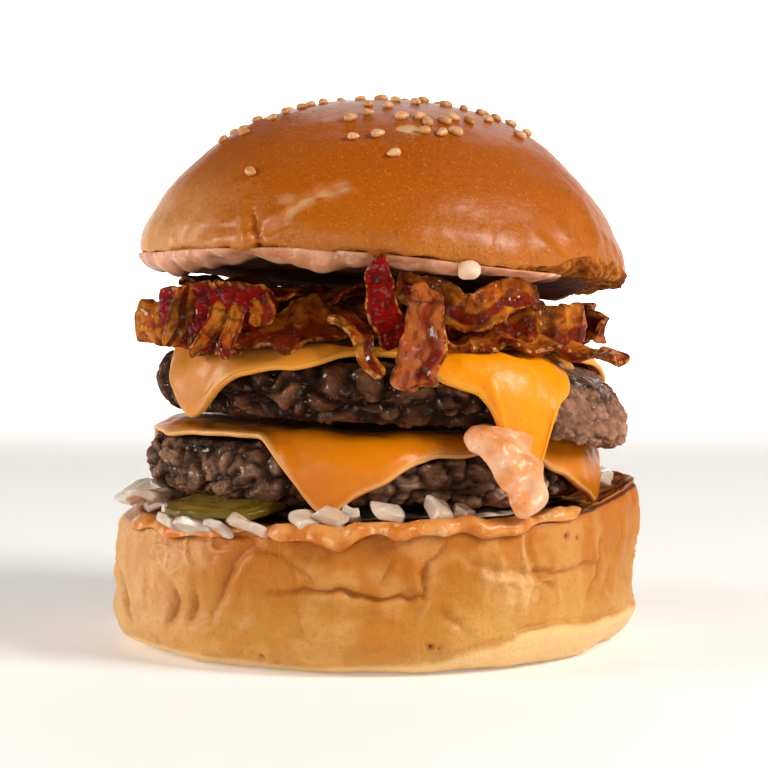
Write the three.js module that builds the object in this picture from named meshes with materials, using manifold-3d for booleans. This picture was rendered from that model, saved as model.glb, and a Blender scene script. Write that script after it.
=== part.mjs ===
// Double cheeseburger with bacon, in millimetres, +Z up, standing on the flat foot of its bottom bun.
// From the table up: bottom bun, sauce, diced onion and pickles, patty, cheese, patty, cheese, bacon,
// sauce and a seeded top bun. The front is -Y, and angles turn from +X towards +Y, in degrees.
import * as THREE from "three";
import { mergeVertices } from "three/addons/utils/BufferGeometryUtils.js";
import Module from "manifold-3d";

const wasm = await Module();
wasm.setup();

// Clearance kept between two pieces that touch.
const GAP = 0.3;

// How much larger a copy is that cuts its neighbours clear.
const CUT = 0.6;

// Bottom bun: a foot that bulges over a crease, a wall, and a dished cut face whose rim rises to the right.
const FOOT_RADIUS = 55.2;
const BED_RADIUS = 53.8;
const BED_HEIGHT = 27.0;
const RIM_RISE = { mean: 3.0, right: 3.4, back: 0.8 };
const BOTTOM_LEAN = { foot: -1.8, rim: 0.6 };

// Top bun: an upright dome over a cut face that falls to the right and to the back.
const DOME_RADIUS = 51.4;
const DOME_TOP = 113.4;
const TOP_SHIFT = 1.1;
const CUT_HEIGHT = 77.3;
const CUT_FALL = { right: 0.068, back: 0.076 };

// Patties: flat discs with a half-round edge. A tilt is a lean to the right and back, in degrees.
const PATTY_TILT_BACK = 1.0;
const PATTY_LOWER = { x: -2.5, z: 37.3, radius: 46.8, thick: 12.4, tiltRight: 1.7, droop: 0, phase: 0.4 };
const PATTY_UPPER = { x: 4.2, z: 53.5, radius: 50.0, thick: 12.8, tiltRight: 2.0, droop: 8, phase: 2.1 };
const PATTY_EDGE = 6.2;

// Cheese: square slices melted over the patties. Sags lengthen the drape round an angle.
const CHEESE_THICK = 2.1;

// Where rings of a layer lie, as shares of its reach: they crowd where it bends over an edge.
const RIM_RINGS = [0, 0.6, 0.88, 0.905, 0.93, 0.96, 1];
const LAYER_RINGS = [0, 0.55, 0.86, 0.95, 1];
const CHEESE_LOWER = {
  edge: 42.2,
  sags: [
    { at: -101, reach: 10.5, wide: 9 },
    { at: -88, reach: 5.5, wide: 12 },
    { at: -12, reach: 8.5, wide: 11 },
    { at: 80, reach: 13, wide: 12 },
    { at: 168, reach: 8.5, wide: 14 },
  ],
};
const CHEESE_UPPER = {
  edge: 44.6,
  sags: [
    { at: -138, reach: 12.5, wide: 9 },
    { at: -123, reach: 4.5, wide: 10 },
    { at: -54, reach: 17, wide: 8 },
    { at: -60, reach: 7.5, wide: 16 },
    { at: -6, reach: -12, wide: 22 },
    { at: 38, reach: 14, wide: 12 },
    { at: 126, reach: 11.5, wide: 13 },
  ],
};

// Sauces: a layer under the top bun and one on the bottom bun, both with lobes that hang at the rim.
const SAUCE_TOP = {
  thick: 1.7,
  inset: 1.0,
  lobes: [
    { at: -168, hang: 2.6, wide: 8 },
    { at: -131, hang: 2.4, wide: 5 },
    { at: -101, hang: 2.9, wide: 9 },
    { at: -76, hang: 2.2, wide: 5 },
    { at: -69, hang: 2.9, wide: 3.5 },
    { at: -52, hang: 1.6, wide: 9 },
    { at: 70, hang: 2.4, wide: 9 },
    { at: 128, hang: 2.0, wide: 7 },
  ],
};
const SAUCE_BOTTOM = {
  thick: 0.9,
  inset: 3.2,
  runs: [
    { at: -106, reach: 6.2, wide: 9 },
    { at: -88, reach: 7.4, wide: 9 },
    { at: -68, reach: 5.6, wide: 8 },
    { at: -52, reach: 3.4, wide: 8 },
    { at: -8, reach: -8, wide: 34 },
    { at: 60, reach: 6.5, wide: 11 },
    { at: 96, reach: 6.5, wide: 12 },
    { at: 150, reach: 5.0, wide: 9 },
  ],
};

// A thick tongue of sauce that runs from between the patties down to the bottom bun.
const SAUCE_RUN = {
  route: [
    [20.5, -42.5, 46.4], [23.2, -49.0, 44.6], [25.0, -51.6, 40.4],
    [28.2, -50.2, 35.6], [29.6, -48.4, 31.6],
  ],
  halfWide: [2.4, 5.6, 5.6, 4.6, 3.0],
  halfThick: [1.6, 2.4, 2.6, 2.4, 1.4],
};

// Pickle slices: centre, radius, thickness.
const PICKLES = [
  { x: -29.5, y: -34.5, z: 30.4, radius: 12.5, thick: 2.2, tiltX: -3, tiltY: -6 },
  { x: 27.5, y: 37.0, z: 31.4, radius: 12.0, thick: 2.2, tiltX: 3, tiltY: 3 },
];

// Diced onion: a thin bed of it, with the pieces that show round its edge.
const ONION_BED = { radius: 38, thick: 0.9 };
const ONION_DICE = { count: 11, from: -150, step: 28, out: 47.2, size: [5.2, 4.2, 2.6] };
const ONION_SHARDS = [
  { x: -48.8, y: -7.5, z: 31.4, size: [8.4, 9.5, 3.2], turn: 20, tip: -22 },
  { x: -46.4, y: -18.5, z: 31.8, size: [7.5, 8.0, 3.0], turn: -28, tip: -18 },
  { x: -39.6, y: -38.6, z: 27.8, size: [9.0, 6.0, 2.4], turn: 44, tip: 30 },
  { x: -31.4, y: -44.6, z: 27.4, size: [8.0, 6.0, 2.2], turn: 30, tip: 36 },
  { x: -24.8, y: -46.8, z: 29.2, size: [7.4, 4.4, 2.4], turn: 26, tip: 14 },
];

// Bacon. Each strip is a ribbon carried along a route; across points the way that its width lies.
// Wave is the size and the length of its ripples.
const BACON_THICK = 2.0;
const UPRIGHT = [0, 0, 1];
const BACON = {
  bacon_left_fold: {
    route: [
      [-15, -37, 70.5], [-21, -41.5, 70.6], [-29, -39.5, 69.6],
      [-36, -33, 69.4], [-41, -25.5, 69.6], [-42.5, -18, 70.6],
    ],
    across: [[0, -0.2, 1], [0.1, -0.3, 1], [-0.1, 0.1, 1]],
    width: [8, 12, 13.5, 13, 12, 8],
    wave: { size: 1.3, length: 8.5, phase: 0.6 },
  },
  bacon_left_end: {
    route: [
      [-33, -9, 67.4], [-41, -14.5, 66.6], [-46.4, -11.5, 66.4],
      [-48.2, -3, 66.8], [-45.5, 6, 67.4],
    ],
    across: [[0, 0, 1], [-0.1, 0.1, 1]],
    width: [6, 8, 8.6, 8, 6],
    wave: { size: 0.7, length: 9, phase: 2.0 },
  },
  bacon_left_low: {
    route: [
      [-36.4, -35, 64.3], [-29, -39.6, 65.8], [-20, -40.4, 66.4],
      [-11, -37.6, 67.2], [-2, -30, 67.2], [4, -20, 66.8],
    ],
    across: [[0.5, 0.8, 0.35], [0.2, 0.9, 0.42], [-0.5, 0.8, 0.3]],
    width: [6, 10, 11, 11, 10, 8],
    wave: { size: 0.5, length: 14, phase: 0 },
  },
  bacon_left_shelf: {
    route: [
      [-37, -9, 75.0], [-28, -20, 75.0], [-19, -24, 73.4],
      [-9, -24.6, 73.0], [2, -22, 75.0], [14, -15, 74.6],
    ],
    across: [[0.7, 0.7, 0], [0.2, 1, 0.02], [-0.4, 0.9, 0]],
    width: [10, 14, 16, 16, 15, 10],
    wave: { size: 0.7, length: 13, phase: 1.1 },
  },
  bacon_red: {
    route: [
      [0.8, -53.6, 81.4], [0.2, -53.2, 77.4], [1.2, -50.6, 72.8],
      [2.8, -46.6, 68.2], [3.8, -43.8, 64.6],
    ],
    across: [[1, 0.1, -0.1], [1, 0.2, 0.25], [1, 0.3, 0.2]],
    width: [1.8, 6.6, 8.2, 8.4, 7.0],
    wave: { size: 0.3, length: 10, phase: 0 },
  },
  bacon_hanging: {
    route: [
      [10.2, -47.0, 76.0], [9.8, -49.4, 72.0], [8.8, -51.9, 66.0],
      [8.0, -52.6, 60.6], [7.4, -52.2, 56.0],
    ],
    across: [[1, -0.2, 0.1], [1, -0.35, 0.1], [1, -0.1, 0.05]],
    width: [3.4, 8.2, 9.4, 9.6, 8.4],
    wave: { size: 0.35, length: 11, phase: 0.8 },
  },
  bacon_diagonal: {
    route: [[-7.4, -44.4, 69.6], [-4.6, -47.0, 67.4], [-1.6, -50.4, 62.6], [1.2, -52.2, 58.6]],
    across: [[0.6, 0.8, 0.2], [0.7, 0.7, 0.2], [1, 0.2, 0.3]],
    width: [5.6, 5.6, 3.6, 2.6],
    wave: { size: 0.3, length: 7, phase: 0 },
  },
  bacon_right_vee: {
    route: [
      [5.4, -36.5, 75.2], [11, -42, 73.4], [17.4, -44.6, 69.6],
      [22.6, -42.8, 71.2], [26.6, -38.6, 74.0], [33, -31, 72.4],
    ],
    across: [[0.1, 0.2, 1], [0.25, -0.15, 1], [-0.3, 0.1, 1], [0, 0.2, 1]],
    width: [6, 7.6, 8.0, 7.6, 7, 5],
    wave: { size: 0.5, length: 8, phase: 0 },
  },
  bacon_right_fold: {
    route: [
      [14.5, -34.2, 68.2], [22, -36.0, 67.8], [28.6, -33.6, 68.4],
      [34, -30.6, 67.6], [39.6, -24.4, 67.0], [43.0, -15.5, 66.6],
    ],
    across: [[0, 0.2, 1], [0.1, 0.3, 1], [-0.1, 0.1, 1]],
    width: [7, 8.6, 9, 9.4, 9, 6],
    wave: { size: 1.3, length: 10.5, phase: 1.0 },
  },
  bacon_right_low: {
    route: [
      [11.5, -42.4, 65.4], [17.6, -42.4, 64.2], [24.4, -39.4, 64.6],
      [33, -35.2, 63.4], [41.4, -29.2, 62.0], [49.6, -20.6, 61.4],
    ],
    across: [[0.1, 1, 0.22], [-0.3, 0.95, 0.2], [-0.6, 0.8, 0.24]],
    width: [5, 8, 9, 9.6, 9.6, 6.4],
    wave: { size: 0.4, length: 9, phase: 0.5 },
  },
  bacon_middle: {
    route: [
      [-38, 2, 67.0], [-22, -2, 67.8], [-4, -4, 67.2],
      [14, -6, 67.8], [30, -9, 66.0], [38, -10, 65.0],
    ],
    across: [[0.1, 1, 0], [0, 1, 0]],
    width: [14, 20, 22, 22, 20, 12],
    wave: { size: 1.2, length: 19, phase: 0.3 },
  },
  bacon_back_right: {
    route: [[47, 1, 65.4], [44.6, 13, 66.0], [37.6, 25, 65.6], [28, 35, 65.8], [15.5, 41.5, 65.8]],
    across: [[0.1, 0.1, 1], [-0.1, 0, 1]],
    width: [6, 9, 9.4, 9, 6],
    wave: { size: 1.5, length: 11, phase: 0.2 },
  },
  bacon_back_left: {
    route: [
      [-45.5, 16, 69.0], [-39.5, 26.6, 69.2], [-29, 36.8, 68.6],
      [-16, 42.6, 68.2], [-3, 45.4, 67.6],
    ],
    across: [[-0.1, 0, 1], [0.1, 0.1, 1]],
    width: [6, 10.5, 10.5, 10, 6],
    wave: { size: 1.4, length: 12, phase: 1.4 },
  },
  bacon_back_low: {
    route: [[-36, 18, 66.0], [-22, 25, 65.6], [-6, 29, 65.2], [12, 28, 64.6], [26, 21, 63.8]],
    across: [[0.5, -0.9, 0.1], [0, -1, 0.1], [-0.6, -0.8, 0.1]],
    width: [9, 12, 13, 12, 9],
    wave: { size: 0.6, length: 15, phase: 0.9 },
  },
};

// Sesame seeds on the top bun: teardrop grains, thickest round the top.
const SEED = { count: 38, length: 3.4, wide: 2.1, thick: 1.7, spread: 33 };

// Folds pressed into the bottom bun's wall: from and to are [angle, height].
const BOTTOM_FOLDS = [
  { from: [-108, 12.2], to: [-68, 11.4], deep: 1.3, wide: 1.6 },
  { from: [-68, 11.4], to: [-58, 15.6], deep: 0.9, wide: 1.5 },
  { from: [-134, 6.5], to: [-126, 14.5], deep: 1.2, wide: 2.0 },
  { from: [-121, 13.0], to: [-104, 23.5], deep: 0.9, wide: 1.6 },
  { from: [-57, 15.6], to: [-34, 16.8], deep: 1.0, wide: 1.4 },
  { from: [-62, 4.6], to: [-20, 11.5], deep: 1.3, wide: 1.5 },
  { from: [-176, 12.0], to: [-150, 9.0], deep: 1.1, wide: 1.6 },
  { from: [12, 12.0], to: [70, 10.0], deep: 1.0, wide: 1.7 },
  { from: [92, 14.0], to: [130, 10.5], deep: 1.1, wide: 1.8 },
  { from: [140, 16.0], to: [172, 13.0], deep: 0.9, wide: 1.6 },
];

const radians = THREE.MathUtils.degToRad;
const smoothstep = THREE.MathUtils.smoothstep;
const vector = (p) => new THREE.Vector3(...p);

// Repeatable draws from 0 to 1.
function draws(seed) {
  let state = seed;
  return () => {
    state = (state * 1664525 + 1013904223) % 4294967296;
    return state / 4294967296;
  };
}

// The angle from a to b, in degrees, from -180 to 180.
const turnBetween = (a, b) => THREE.MathUtils.euclideanModulo(b - a + 180, 360) - 180;

// The sum of smooth bumps round a ring of angles; size names what each bump adds.
function bumps(list, size, angle) {
  return list.reduce((sum, b) => sum + b[size] * Math.exp(-((turnBetween(b.at, angle) / b.wide) ** 2)), 0);
}

// A closed surface between two poles: pointAt(angle in degrees, t from 0 to 1) for each column and ring.
function closedSkin(columns, rings, pointAt) {
  const positions = [...pointAt(0, 0)];
  for (let ring = 1; ring < rings; ring++)
    for (let column = 0; column < columns; column++) {
      positions.push(...pointAt((360 * column) / columns, ring / rings));
    }
  positions.push(...pointAt(0, 1));
  const last = (rings - 1) * columns + 1;
  const at = (ring, column) => {
    if (ring === 0) return 0;
    if (ring === rings) return last;
    return 1 + (ring - 1) * columns + (column % columns);
  };
  const index = [];
  for (let ring = 0; ring < rings; ring++)
    for (let column = 0; column < columns; column++) {
      if (ring > 0) index.push(at(ring, column), at(ring, column + 1), at(ring + 1, column));
      if (ring < rings - 1) index.push(at(ring, column + 1), at(ring + 1, column + 1), at(ring + 1, column));
    }
  const geometry = new THREE.BufferGeometry();
  geometry.setAttribute("position", new THREE.Float32BufferAttribute(positions, 3));
  return geometry.setIndex(index);
}

// A three.js geometry as a solid that can be cut and joined, turned right side out, placed by a matrix.
function solidOf(geometry, matrix = new THREE.Matrix4()) {
  const bare = new THREE.BufferGeometry().setAttribute("position", geometry.getAttribute("position").clone());
  if (geometry.index) bare.setIndex(geometry.index.clone());
  bare.applyMatrix4(matrix);
  const merged = mergeVertices(bare, 1e-4);
  const vertProperties = new Float32Array(merged.attributes.position.array);
  const triVerts = new Uint32Array(merged.index.array);
  const solid = new wasm.Manifold(new wasm.Mesh({ numProp: 3, vertProperties, triVerts }));
  if (solid.volume() > 0) return solid;
  for (let i = 0; i < triVerts.length; i += 3) triVerts.subarray(i, i + 3).reverse();
  return new wasm.Manifold(new wasm.Mesh({ numProp: 3, vertProperties, triVerts }));
}

// What is left of a solid once tools are cut from it: its largest piece, without loose scraps.
function cutBy(solid, tools) {
  const left = tools.reduce((rest, tool) => rest.subtract(tool), solid);
  return left.decompose().sort((a, b) => b.volume() - a.volume())[0];
}

// A solid as the three.js geometry of a mesh.
function geometryOf(solid) {
  const mesh = solid.getMesh();
  const geometry = new THREE.BufferGeometry();
  geometry.setAttribute("position", new THREE.BufferAttribute(new Float32Array(mesh.vertProperties), 3));
  geometry.setIndex(new THREE.BufferAttribute(new Uint32Array(mesh.triVerts), 1));
  geometry.computeVertexNormals();
  return geometry;
}

// The height of the bottom bun's cut face.
function bedHeight(x, y) {
  const rise = RIM_RISE.mean + (RIM_RISE.right * x - RIM_RISE.back * -y) / BED_RADIUS;
  return BED_HEIGHT + rise * Math.min(1, Math.hypot(x, y) / BED_RADIUS) ** 7;
}

// The height of the top bun's cut face.
const cutHeight = (x, y) => CUT_HEIGHT - CUT_FALL.right * x - CUT_FALL.back * y;

// How the cut face waves towards its rim.
const cutWave = (angle, radius) => 0.01 * radius * Math.cos(radians(4 * angle + 57));

// How deep the folds press the bottom bun's wall at an angle and height.
function foldDepth(angle, height) {
  const here = new THREE.Vector2(0, height);
  return BOTTOM_FOLDS.reduce((deepest, fold) => {
    const arc = radians(FOOT_RADIUS);
    const a = new THREE.Vector2(turnBetween(angle, fold.from[0]) * arc, fold.from[1]);
    const b = new THREE.Vector2(turnBetween(angle, fold.to[0]) * arc, fold.to[1]);
    const along = b.clone().sub(a);
    const share = THREE.MathUtils.clamp(here.clone().sub(a).dot(along) / along.lengthSq(), 0, 1);
    const away = here.distanceTo(a.addScaledVector(along, share));
    return Math.max(deepest, fold.deep * Math.exp(-((away / fold.wide) ** 2)));
  }, 0);
}

// The bottom bun's outline, as [radius, height] from the foot's edge to the rim.
const BOTTOM_WALL = new THREE.SplineCurve(
  [[41, 0], [47.8, 0.6], [52.2, 2.8], [54.6, 7], [54.1, 11], [54.3, 15], [54.8, 20], [54.3, 25]].map(
    (p) => new THREE.Vector2(...p),
  ),
);

// The bottom bun isn't quite round.
function bottomRound(a) {
  return 1 + 0.008 * Math.cos(2 * a + 0.6) + 0.006 * Math.cos(3 * a + 2) + 0.005 * Math.cos(5 * a);
}

function bottomBunPoint(angle, t, grow = 0) {
  const a = radians(angle);
  const round = bottomRound(a);
  const foot = 2 / 16;
  const wall = 11 / 16;
  if (t <= foot) {
    const radius = 40 * round * (t / foot);
    return [BOTTOM_LEAN.foot + radius * Math.cos(a), radius * Math.sin(a), 0];
  }
  if (t <= wall) {
    const [r, z] = BOTTOM_WALL.getPoint((t - foot) / (wall - foot)).toArray();
    const top = bedHeight(BED_RADIUS * Math.cos(a), BED_RADIUS * Math.sin(a));
    const height = z * (1 + ((top - 28.2) / 28.2) * smoothstep(z, 8, 25));
    const radius = r * round - foldDepth(angle, height) + grow;
    const lean = THREE.MathUtils.lerp(BOTTOM_LEAN.foot, BOTTOM_LEAN.rim, height / 28);
    const lift = grow * smoothstep(t, foot, wall);
    return [lean + radius * Math.cos(a), radius * Math.sin(a) * 0.985, height + lift];
  }
  const inward = (t - wall) / (1 - wall);
  const radius = ((BED_RADIUS - 0.8) * round + grow) * (1 - inward ** 2.2);
  const x = BOTTOM_LEAN.rim + radius * Math.cos(a);
  const y = radius * Math.sin(a) * 0.985;
  return [x, y, bedHeight(x - BOTTOM_LEAN.rim, y) + grow];
}

// The dome's outline over the cut face, as [radius, share of the height].
const DOME_WALL = new THREE.SplineCurve(
  [
    [50.2, 0], [51.4, 0.04], [50.8, 0.16], [48.6, 0.28], [45.6, 0.42],
    [40.6, 0.58], [33.8, 0.75], [23.6, 0.9], [11.8, 0.978], [0, 1],
  ].map((p) => new THREE.Vector2(...p)),
);

function topBunPoint(angle, t, grow = 0) {
  const a = radians(angle);
  const round = 1 + 0.008 * Math.cos(2 * a + 2.2) + 0.007 * Math.cos(3 * a) + 0.004 * Math.cos(7 * a + 1);
  const face = 0.2;
  if (t <= face) {
    const radius = (49.6 * round + grow) * (t / face);
    const [x, y] = [TOP_SHIFT + radius * Math.cos(a), radius * Math.sin(a)];
    return [x, y, cutHeight(x, y) + cutWave(angle, radius) - grow];
  }
  const [r, share] = DOME_WALL.getPoint((t - face) / (1 - face)).toArray();
  const fold = Math.exp(-((turnBetween(-126, angle) / 9) ** 2));
  const dent = 1.1 * fold * smoothstep(share, 0.05, 0.15) * smoothstep(0.55 - share, 0, 0.3);
  const radius = r * round * (1 + 0.004 * Math.cos(9 * a) * (1 - share)) - dent + grow;
  const [x, y] = [TOP_SHIFT + radius * Math.cos(a), radius * Math.sin(a)];
  const notch = 1.6 * Math.exp(-((turnBetween(-38, angle) / 6) ** 2)) * (1 - smoothstep(share, 0, 0.2));
  const base = cutHeight(x, y) + cutWave(angle, radius) * (1 - share) + notch;
  return [x, y, base + (DOME_TOP - base) * share - grow * (1 - share)];
}

// A low-sided teardrop seed lying on the dome.
function seedSolid(angle, out, turn) {
  const share = (radius) => {
    let [low, high] = [0.2, 1];
    for (let i = 0; i < 30; i++) {
      const t = (low + high) / 2;
      if (Math.hypot(topBunPoint(angle, t)[0] - TOP_SHIFT, topBunPoint(angle, t)[1]) > radius) low = t;
      else high = t;
    }
    return (low + high) / 2;
  };
  const here = vector(topBunPoint(angle, share(out)));
  const inner = vector(topBunPoint(angle, share(out - 0.6)));
  const beside = vector(topBunPoint(angle + 2, share(out)));
  const normal = beside.sub(here).cross(inner.sub(here)).normalize();
  const along = new THREE.Vector3(Math.cos(turn), Math.sin(turn), 0).projectOnPlane(normal).normalize();
  const frame = new THREE.Matrix4().makeBasis(along, normal.clone().cross(along), normal);
  frame.scale(new THREE.Vector3(SEED.length / 2, SEED.wide / 2, SEED.thick / 2));
  frame.setPosition(here);
  return solidOf(new THREE.SphereGeometry(1, 5, 3).rotateX(Math.PI / 2), frame);
}

// The dome with its seeds fused on, spread by the golden angle and shaken by seeded draws.
function topBunSolid() {
  const draw = draws(7);
  let solid = solidOf(closedSkin(40, 14, (angle, t) => topBunPoint(angle, t)));
  for (let i = 0; i < SEED.count; i++) {
    const angle = -90 + 137.508 * i + 16 * (draw() - 0.5);
    const out = 2.5 + SEED.spread * ((i + 0.5) / SEED.count) ** 0.62 + 2 * (draw() - 0.5);
    solid = solid.add(seedSolid(angle, out, 2 * Math.PI * draw()));
  }
  return solid;
}

// Where a patty's frame sits in the stack.
function pattySeat(patty) {
  const turn = new THREE.Euler(radians(-PATTY_TILT_BACK), radians(patty.tiltRight), 0);
  return new THREE.Matrix4().makeRotationFromEuler(turn).setPosition(patty.x, 0, patty.z);
}

// A patty's radius round its edge.
function pattyRadius(patty, angle) {
  const a = radians(angle);
  const p = patty.phase;
  const waves = 0.012 * Math.cos(3 * a + p) + 0.009 * Math.cos(5 * a + 2 * p) + 0.006 * Math.cos(9 * a + p);
  return patty.radius * (1 + waves);
}

// Dents between the lumps of ground meat, from 0 to 1.
function pattyDents(patty, angle, t) {
  const a = radians(angle);
  const p = patty.phase;
  const large = Math.cos(13 * a + 5 * t + p) * Math.cos(9 * t + 3 * Math.sin(4 * a + p));
  const small = Math.cos(21 * a - 11 * t + 2 * p);
  return 0.5 - 0.31 * large - 0.19 * small;
}

// How far a patty's right edge droops where nothing holds it up.
function pattyDroop(patty, angle, radius) {
  return patty.droop * smoothstep(radius * Math.cos(radians(angle + 14)), 30, 56);
}

// A patty's rings from the middle of its underside to the middle of its top: shares of the flat face, then
// turns round the edge, in degrees.
const FACE_RINGS = [0.45, 0.78, 1];
const EDGE_TURNS = [-60, -30, 0, 30, 60];
const PATTY_RINGS = [
  [0, -90],
  ...FACE_RINGS.map((share) => [share, -90]),
  ...EDGE_TURNS.map((turn) => [1, turn]),
  ...FACE_RINGS.toReversed().map((share) => [share, 90]),
  [0, 90],
];

function pattyShape(patty, grow = 0) {
  const last = PATTY_RINGS.length - 1;
  return closedSkin(36, last, (angle, t) => {
    const a = radians(angle);
    const [share, turn] = PATTY_RINGS[Math.round(last * t)];
    const flat = pattyRadius(patty, angle) - PATTY_EDGE;
    const dent = grow > 0 ? 0 : 0.9 * pattyDents(patty, angle, t) * Math.cos(radians(turn));
    const radius = share * flat + (PATTY_EDGE + grow - dent) * Math.cos(radians(turn));
    const z = (patty.thick / 2 + grow - 0.4 * dent) * Math.sin(radians(turn));
    return [radius * Math.cos(a), radius * Math.sin(a), z - pattyDroop(patty, angle, radius)];
  });
}

// How far a melted slice reaches from the patty's middle, measured over its surface.
function cheeseReach(cheese, angle) {
  return cheese.edge + bumps(cheese.sags, "reach", angle) + 0.6 * Math.cos(radians(9 * angle + 40));
}

// A patty with straight sides below its shoulder, larger by clear: what a slice melts over.
function drapeForm(patty, clear) {
  const rings = [...PATTY_RINGS.slice(-7).toReversed(), [1, 0]];
  return closedSkin(36, 8, (angle, t) => {
    const a = radians(angle);
    const ring = Math.round(8 * t);
    const [share, turn] = ring < 7 ? rings[ring] : [ring === 7 ? 1 : 0, 0];
    const flat = pattyRadius(patty, angle) - PATTY_EDGE;
    const radius = ring === 8 ? 0 : share * flat + (PATTY_EDGE + clear) * Math.cos(radians(turn));
    const z = ring < 7 ? (patty.thick / 2 + clear) * Math.sin(radians(turn)) : -40;
    return [radius * Math.cos(a), radius * Math.sin(a), z - pattyDroop(patty, angle, radius)];
  });
}

// Everything over the level that a slice's edge sags to, round its patty. Where the slice stops short of the
// patty's edge, the form ends there in a wall.
function sagForm(patty, cheese, grow) {
  return closedSkin(45, 5, (angle, t) => {
    const a = radians(angle);
    const flat = pattyRadius(patty, angle) - PATTY_EDGE;
    const reach = cheeseReach(cheese, angle) + grow;
    const short = smoothstep(flat - reach, -1, 1);
    const turn = THREE.MathUtils.clamp((reach - flat) / PATTY_EDGE, 0.25, Math.PI / 2);
    const sag = (patty.thick / 2) * Math.cos(turn) - Math.max(0, reach - flat - turn * PATTY_EDGE);
    const level = THREE.MathUtils.lerp(sag - pattyDroop(patty, angle, flat + 6), 30, short);
    const inner = THREE.MathUtils.lerp(34, reach, short);
    const outline = [[0, -5], [inner, -5], [inner + 0.6, level], [75, level], [75, 40], [0, 40]];
    const [radius, z] = outline[Math.round(5 * t)];
    return [radius * Math.cos(a), radius * Math.sin(a), z];
  });
}

// A slice that lies on its patty; grown, it fills the patty's place too and only serves to cut.
function cheeseSolid(patty, cheese, seat, grow = 0) {
  const outer = solidOf(drapeForm(patty, 2 * GAP + CHEESE_THICK + grow), seat);
  const slice = outer.intersect(solidOf(sagForm(patty, cheese, grow), seat));
  return grow > 0 ? slice : slice.subtract(solidOf(drapeForm(patty, 2 * GAP), seat));
}

// The layer of sauce under the top bun: its rim is thicker where it hangs in lobes.
function sauceTopPoint(grow) {
  return (angle, t) => {
    const a = radians(angle);
    const inward = Math.abs(2 * t - 1);
    const right = Math.exp(-((turnBetween(-18, angle) / 32) ** 2));
    const edge = DOME_RADIUS - SAUCE_TOP.inset - 3.5 * right + 0.5 * Math.cos(6 * a + 1) + grow;
    const radius = edge * readAlong(LAYER_RINGS, 1 - inward);
    const nearRim = smoothstep(radius, 0.84 * edge, 0.95 * edge);
    const thick = SAUCE_TOP.thick + bumps(SAUCE_TOP.lobes, "hang", angle) * nearRim;
    const rounded = Math.sqrt(Math.min(1, 4 * inward));
    const top = -GAP - 0.25 + grow - 0.5 * (1 - rounded) + cutWave(angle, radius);
    const bottom = top - thick * rounded - 2 * grow;
    const [x, y] = [TOP_SHIFT + radius * Math.cos(a), radius * Math.sin(a)];
    return [x, y, cutHeight(x, y) + (t < 0.5 ? bottom : top)];
  };
}

// The layer of sauce on the bottom bun: where it runs, it goes over the rim and down the wall.
function sauceBottomPoint(grow) {
  return (angle, t) => {
    const a = radians(angle);
    const inward = Math.abs(2 * t - 1);
    const rim = BED_RADIUS + 0.2;
    const end = rim - SAUCE_BOTTOM.inset + bumps(SAUCE_BOTTOM.runs, "reach", angle) + grow;
    const reach = end * readAlong(RIM_RINGS, 1 - inward);
    const swell = 0.5 * smoothstep(reach, rim - 4, rim + 2);
    const half = (SAUCE_BOTTOM.thick / 2 + swell) * Math.sqrt(Math.min(1, 6 * inward)) + grow;
    const clear = 2.3 * GAP + SAUCE_BOTTOM.thick / 2 + 1.6 * swell + (t < 0.5 ? -half : half);
    const bend = 1.6;
    const turn = THREE.MathUtils.clamp((reach - rim + bend) / bend, 0, Math.PI / 2);
    const radius = (Math.min(reach, rim - bend) + (bend + 1.0 + clear) * Math.sin(turn)) * bottomRound(a);
    const down = Math.max(0, reach - rim + bend - (Math.PI / 2) * bend);
    const [x, y] = [radius * Math.cos(a), radius * Math.sin(a) * 0.985];
    const level = bedHeight(x, y) - bend + (bend + clear) * Math.cos(turn) - down;
    return [x + BOTTOM_LEAN.rim, y, level];
  };
}

// A smooth curve through a route's points.
const smoothRoute = (route) => new THREE.CatmullRomCurve3(route.map(vector), false, "catmullrom", 0.5);

// A value or a vector read between evenly spaced samples.
function readAlong(list, share) {
  const place = THREE.MathUtils.clamp(share, 0, 1) * (list.length - 1);
  const i = Math.min(Math.floor(place), list.length - 2);
  const f = place - i;
  if (Array.isArray(list[0])) return list[i].map((v, k) => v + (list[i + 1][k] - v) * f);
  return list[i] + (list[i + 1] - list[i]) * f;
}

// A strip of bacon: six corners round its section, rippled along its route.
function baconShape(strip, grow = 0) {
  const curve = smoothRoute(strip.route);
  const length = curve.getLength();
  const steps = Math.max(8, Math.round(length / 4));
  const corners = [[-1, 1], [0, 1], [1, 1], [1, -1], [0, -1], [-1, -1]];
  return closedSkin(corners.length, steps, (angle, t) => {
    const pole = t === 0 || t === 1;
    const [v, side] = pole ? [0, 0] : corners[Math.round((angle / 360) * corners.length)];
    const share = (t * steps - 0.5) / (steps - 1);
    const along = THREE.MathUtils.clamp(share, 0, 1);
    const tangent = curve.getTangent(along);
    const across = vector(readAlong(strip.across, along)).projectOnPlane(tangent).normalize();
    const normal = tangent.clone().cross(across);
    const phase = (2 * Math.PI * along * length) / strip.wave.length + strip.wave.phase + 0.5 * v;
    const ripple = strip.wave.size * Math.sin(phase);
    const half = readAlong(strip.width, along) / 2 + grow;
    const thick = (BACON_THICK / 2) * (1 - 0.25 * v * v) + grow;
    const point = curve.getPoint(along).addScaledVector(across, v * half);
    point.addScaledVector(normal, ripple + side * thick);
    if (pole) point.addScaledVector(tangent, (t - 0.5) * 2 * (0.4 + grow));
    else if (grow && (share <= 0 || share >= 1)) point.addScaledVector(tangent, (t < 0.5 ? -1 : 1) * grow);
    return point.toArray();
  });
}

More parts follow.
